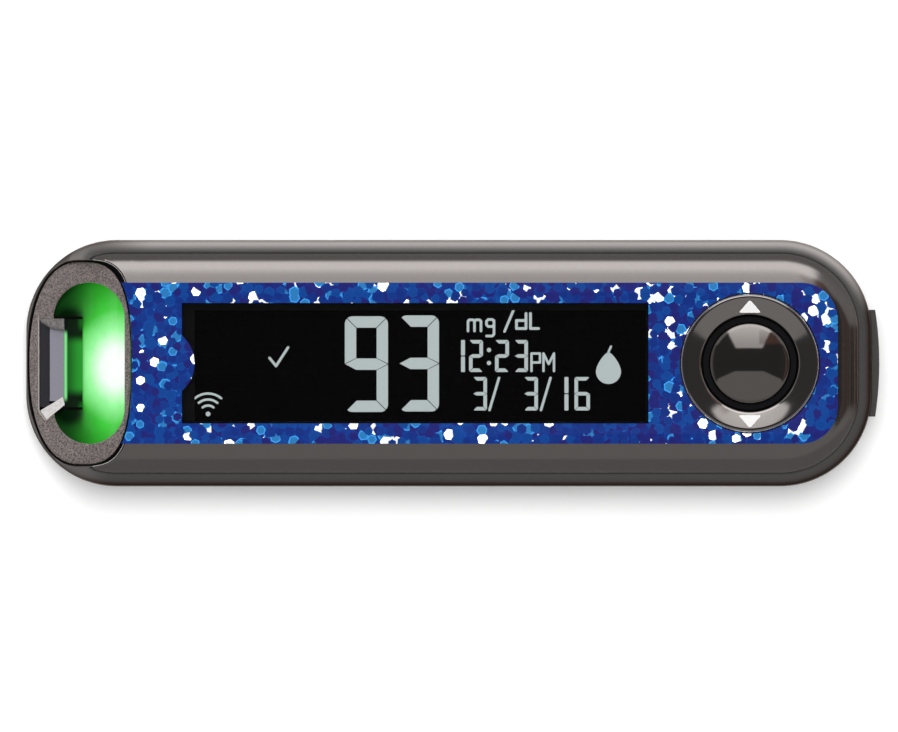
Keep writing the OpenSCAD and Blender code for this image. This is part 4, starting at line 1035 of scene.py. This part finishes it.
def makeMarks():
    marks, x = markSettings, ringSettings["x"]
    work = bmesh.new()
    for side, apex, base, wide in marks["shapes"]:
        corners = [(x - wide, side * base), (x + wide, side * base), (x, side * apex)]
        outline = roundCorners(corners, marks["round"], 4)
        tops = [ringTop(math.hypot(u - x, v)) for u, v in outline]
        addPrism(work, [(u, v, top - marks["sink"]) for (u, v), top in zip(outline, tops)],
                 [(u, v, top + marks["rise"]) for (u, v), top in zip(outline, tops)])
    piece = pieceFromBmesh("ringMarks", work, finishes["mark_white"], "scroll_ring")
    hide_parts("arrow_marks")


def makeButton():
    button = buttonSettings
    rise = button["top"] - button["edge"]
    curve = (button["radius"] ** 2 + rise ** 2) / (2 * rise)
    profile = [(0, button["top"])]
    for step in range(1, 13):
        radius = (button["radius"] - button["rim"]) * step / 12
        profile.append((radius, button["top"] - curve + math.sqrt(curve * curve - radius * radius)))
    low = profile[-1][1]
    profile += [(button["radius"] - inward, low - drop) for inward, drop in button["turn"]]
    work = bmesh.new()
    addLathe(work, profile + button["stem"], ringSettings["x"], 0, ringSettings["steps"], False)
    piece = pieceFromBmesh("okDome", work, finishes["button_dark"], "ok_button", 40)
    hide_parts("ok_button")


makeRing()
makeMarks()
makeButton()
print("ring and button made")


# stage, light and camera
def makeFloor():
    paper = {"half": 0.9, "squares": 24, "z": -0.02 * mm, "white": 0.78, "ownLight": 0.3}
    work = bmesh.new()
    bmesh.ops.create_grid(work, x_segments=paper["squares"], y_segments=paper["squares"], size=paper["half"])
    bmesh.ops.translate(work, vec=(0, 0, paper["z"]), verts=work.verts)
    mesh = bpy.data.meshes.new("studioFloor")
    work.to_mesh(mesh)
    work.free()
    floor = bpy.data.objects.new("studioFloor", mesh)
    bpy.context.scene.collection.objects.link(floor)
    material, tree, shader = newMaterial("floorPaper", **{"Roughness": 0.9, "Emission Color": (1, 1, 1, 1)})
    soft = softGrain(tree, (paper["white"],) * 3, spread=0.01, grain=400.0, rough=0.9, roughSpread=0.02)
    feed(tree, soft["Colour"], shader.inputs["Base Color"])
    feed(tree, calc(tree, "MULTIPLY", seenStraight(tree), paper["ownLight"]),
         shader.inputs["Emission Strength"])
    mesh.materials.append(material)


def makeWorld():
    # a long soft box behind, a grey card in front, dark elsewhere, as levels over the sky
    light = {
        "box": 1.05, "behind": (20, 60, 0.16, 0.20), "front": (124, 131, 0.185, 0.14),
        "left": (-0.75, -0.4, 0.14, 0.0), "dark": 0.035, "boxInner": -0.01, "behindSoft": 0.1,
        "narrowing": (0.2, 0.55, 0.1, 0.2575), "widening": (0.55, 1.0, 0.0, 0.405), "narrowest": 0.02,
        "boxEdges": [(26, 40), (52, 78, 1.0, 0.54), (77, 78.5, 1.0, 0.0)], "boxHalf": 0.33,
        "behindTop": (0.78, 0.88, 1.0, 0.0), "tint": (1.0, 0.975, 0.96),
        "card": [(0.13, 0.15), (0.42, 0.46, 1.0, 0.0), (0.24, 0.29), (0.42, 0.50, 1.0, 0.0)],
        "cardColour": (0.11, 0.062, 0.05, 1), "slats": 26.0, "slatEdge": (0.47, 0.66),
        "slatsFrom": (0.42, 0.55), "slatsTo": (0.12, 0.40, 1.0, 0.0), "slatColour": (0.17, 0.115, 0.09, 1),
        "horizon": (0.06, 0.10, 1.0, 0.0), "boxGrowth": 0.5, "boxStart": 0.07,
        "boxSoft": (0.45, 0.9, 0.03), "frontSoft": (0.42, 0.5, 0.02),
    }
    world = bpy.data.worlds.new("studioLight")
    world.use_nodes = True
    tree = world.node_tree
    background = tree.nodes["Background"]
    x, y, z = addNode(tree, "SeparateXYZ", {0: addNode(tree, "TexCoord").outputs["Generated"]}).outputs
    # turn in the plane across the case: 0 behind at the horizon, 90 overhead, 180 in front
    turn = calc(tree, "DEGREES", calc(tree, "ARCTAN2", z, y))
    offMiddle = calc(tree, "ABSOLUTE", x)
    # both cards narrow away from the middle, and widen again at the far right
    edge = calc(tree, "SUBTRACT", ramp(tree, offMiddle, *light["narrowing"], smooth=False),
                ramp(tree, x, *light["widening"], smooth=False))
    edge = calc(tree, "MAXIMUM", edge, light["narrowest"])
    boxHalf = calc(tree, "MULTIPLY_ADD", y, light["boxGrowth"], light["boxStart"])
    boxHalf = calc(tree, "MINIMUM", boxHalf, light["boxHalf"])
    boxSoft = growing(tree, y, *light["boxSoft"])
    box = combine(tree, "MULTIPLY", *[ramp(tree, turn, *part) for part in light["boxEdges"]],
                  ramp(tree, calc(tree, "SUBTRACT", offMiddle, boxHalf), light["boxInner"], boxSoft,
                       1.0, 0.0))
    behind = combine(tree, "MULTIPLY", ramp(tree, calc(tree, "SUBTRACT", y, edge), 0.0, light["behindSoft"]),
                     ramp(tree, z, *light["behindTop"]), ramp(tree, turn, *light["behind"]))
    # the card in front is a little darker in its lower part
    frontSoft = growing(tree, offMiddle, *light["frontSoft"])
    frontEdge = calc(tree, "SUBTRACT", calc(tree, "MULTIPLY", y, -1.0), edge)
    front = calc(tree, "MULTIPLY", ramp(tree, frontEdge, 0.0, frontSoft), ramp(tree, turn, *light["front"]))
    level = combine(tree, "MAXIMUM", behind, front, ramp(tree, x, *light["left"]),
                    calc(tree, "MULTIPLY", box, light["box"]), light["dark"])
    shades = [calc(tree, "MULTIPLY", level, share) for share in light["tint"]]
    tint = addNode(tree, "CombineColor", dict(enumerate(shades))).outputs[0]
    # a small warm card to the right of the soft box
    sides = [ramp(tree, way, *part) for way, part in zip((x, x, y, y), light["card"])]
    card = combine(tree, "MULTIPLY", *sides, calc(tree, "SUBTRACT", 1.0, box, clamp=True))
    carded = blendColour(tree, card, tint, light["cardColour"])
    # brown streaks at the far right, as of slats
    slats = addNode(tree, "TexNoise", {"W": calc(tree, "MULTIPLY", x, light["slats"]), "Scale": 1.0,
                                       "Detail": 2.0}, noise_dimensions="1D").outputs[0]
    streak = combine(tree, "MULTIPLY", ramp(tree, slats, *light["slatEdge"]),
                     ramp(tree, x, *light["slatsFrom"]),
                     ramp(tree, calc(tree, "ABSOLUTE", y), *light["slatsTo"]))
    streaked = blendColour(tree, streak, carded, light["slatColour"])
    # white down to and below the horizon
    horizon = calc(tree, "MULTIPLY", seenStraight(tree), ramp(tree, z, *light["horizon"]))
    feed(tree, blendColour(tree, horizon, streaked, (1, 1, 1, 1)), background.inputs["Color"])
    background.inputs["Strength"].default_value = 1.0
    bpy.context.scene.world = world


def makeLamps():
    lamps = {
        "topKey": {"strength": 2.5, "angle": 25, "tilt": (-8.5, 0, 0)},
        "skyFill": {"strength": 0.28, "angle": 110, "tilt": (0, 0, 0)},
    }
    for name, values in lamps.items():
        data = bpy.data.lights.new(name, "SUN")
        data.energy = values["strength"]
        data.angle = math.radians(values["angle"])
        lamp = bpy.data.objects.new(name, data)
        lamp.rotation_euler = [math.radians(part) for part in values["tilt"]]
        lamp.visible_glossy = False
        lamp.visible_transmission = False
        bpy.context.scene.collection.objects.link(lamp)


def makeCamera():
    view = {"x": -0.397 * mm, "y": -0.318 * mm, "plane": 0.0125, "distance": 3.0, "width": 898 / 8815,
            "sensor": 36}
    data = bpy.data.cameras.new("camera")
    data.sensor_width = view["sensor"]
    data.sensor_fit = "HORIZONTAL"
    data.lens = view["sensor"] * view["distance"] / view["width"]
    camera = bpy.data.objects.new("camera", data)
    camera.location = (view["x"], view["y"], view["plane"] + view["distance"])
    bpy.context.scene.collection.objects.link(camera)
    bpy.context.scene.camera = camera


makeFloor()
makeWorld()
makeLamps()
makeCamera()
bpy.context.scene.view_settings.view_transform = "Standard"
print("stage, light and camera made")
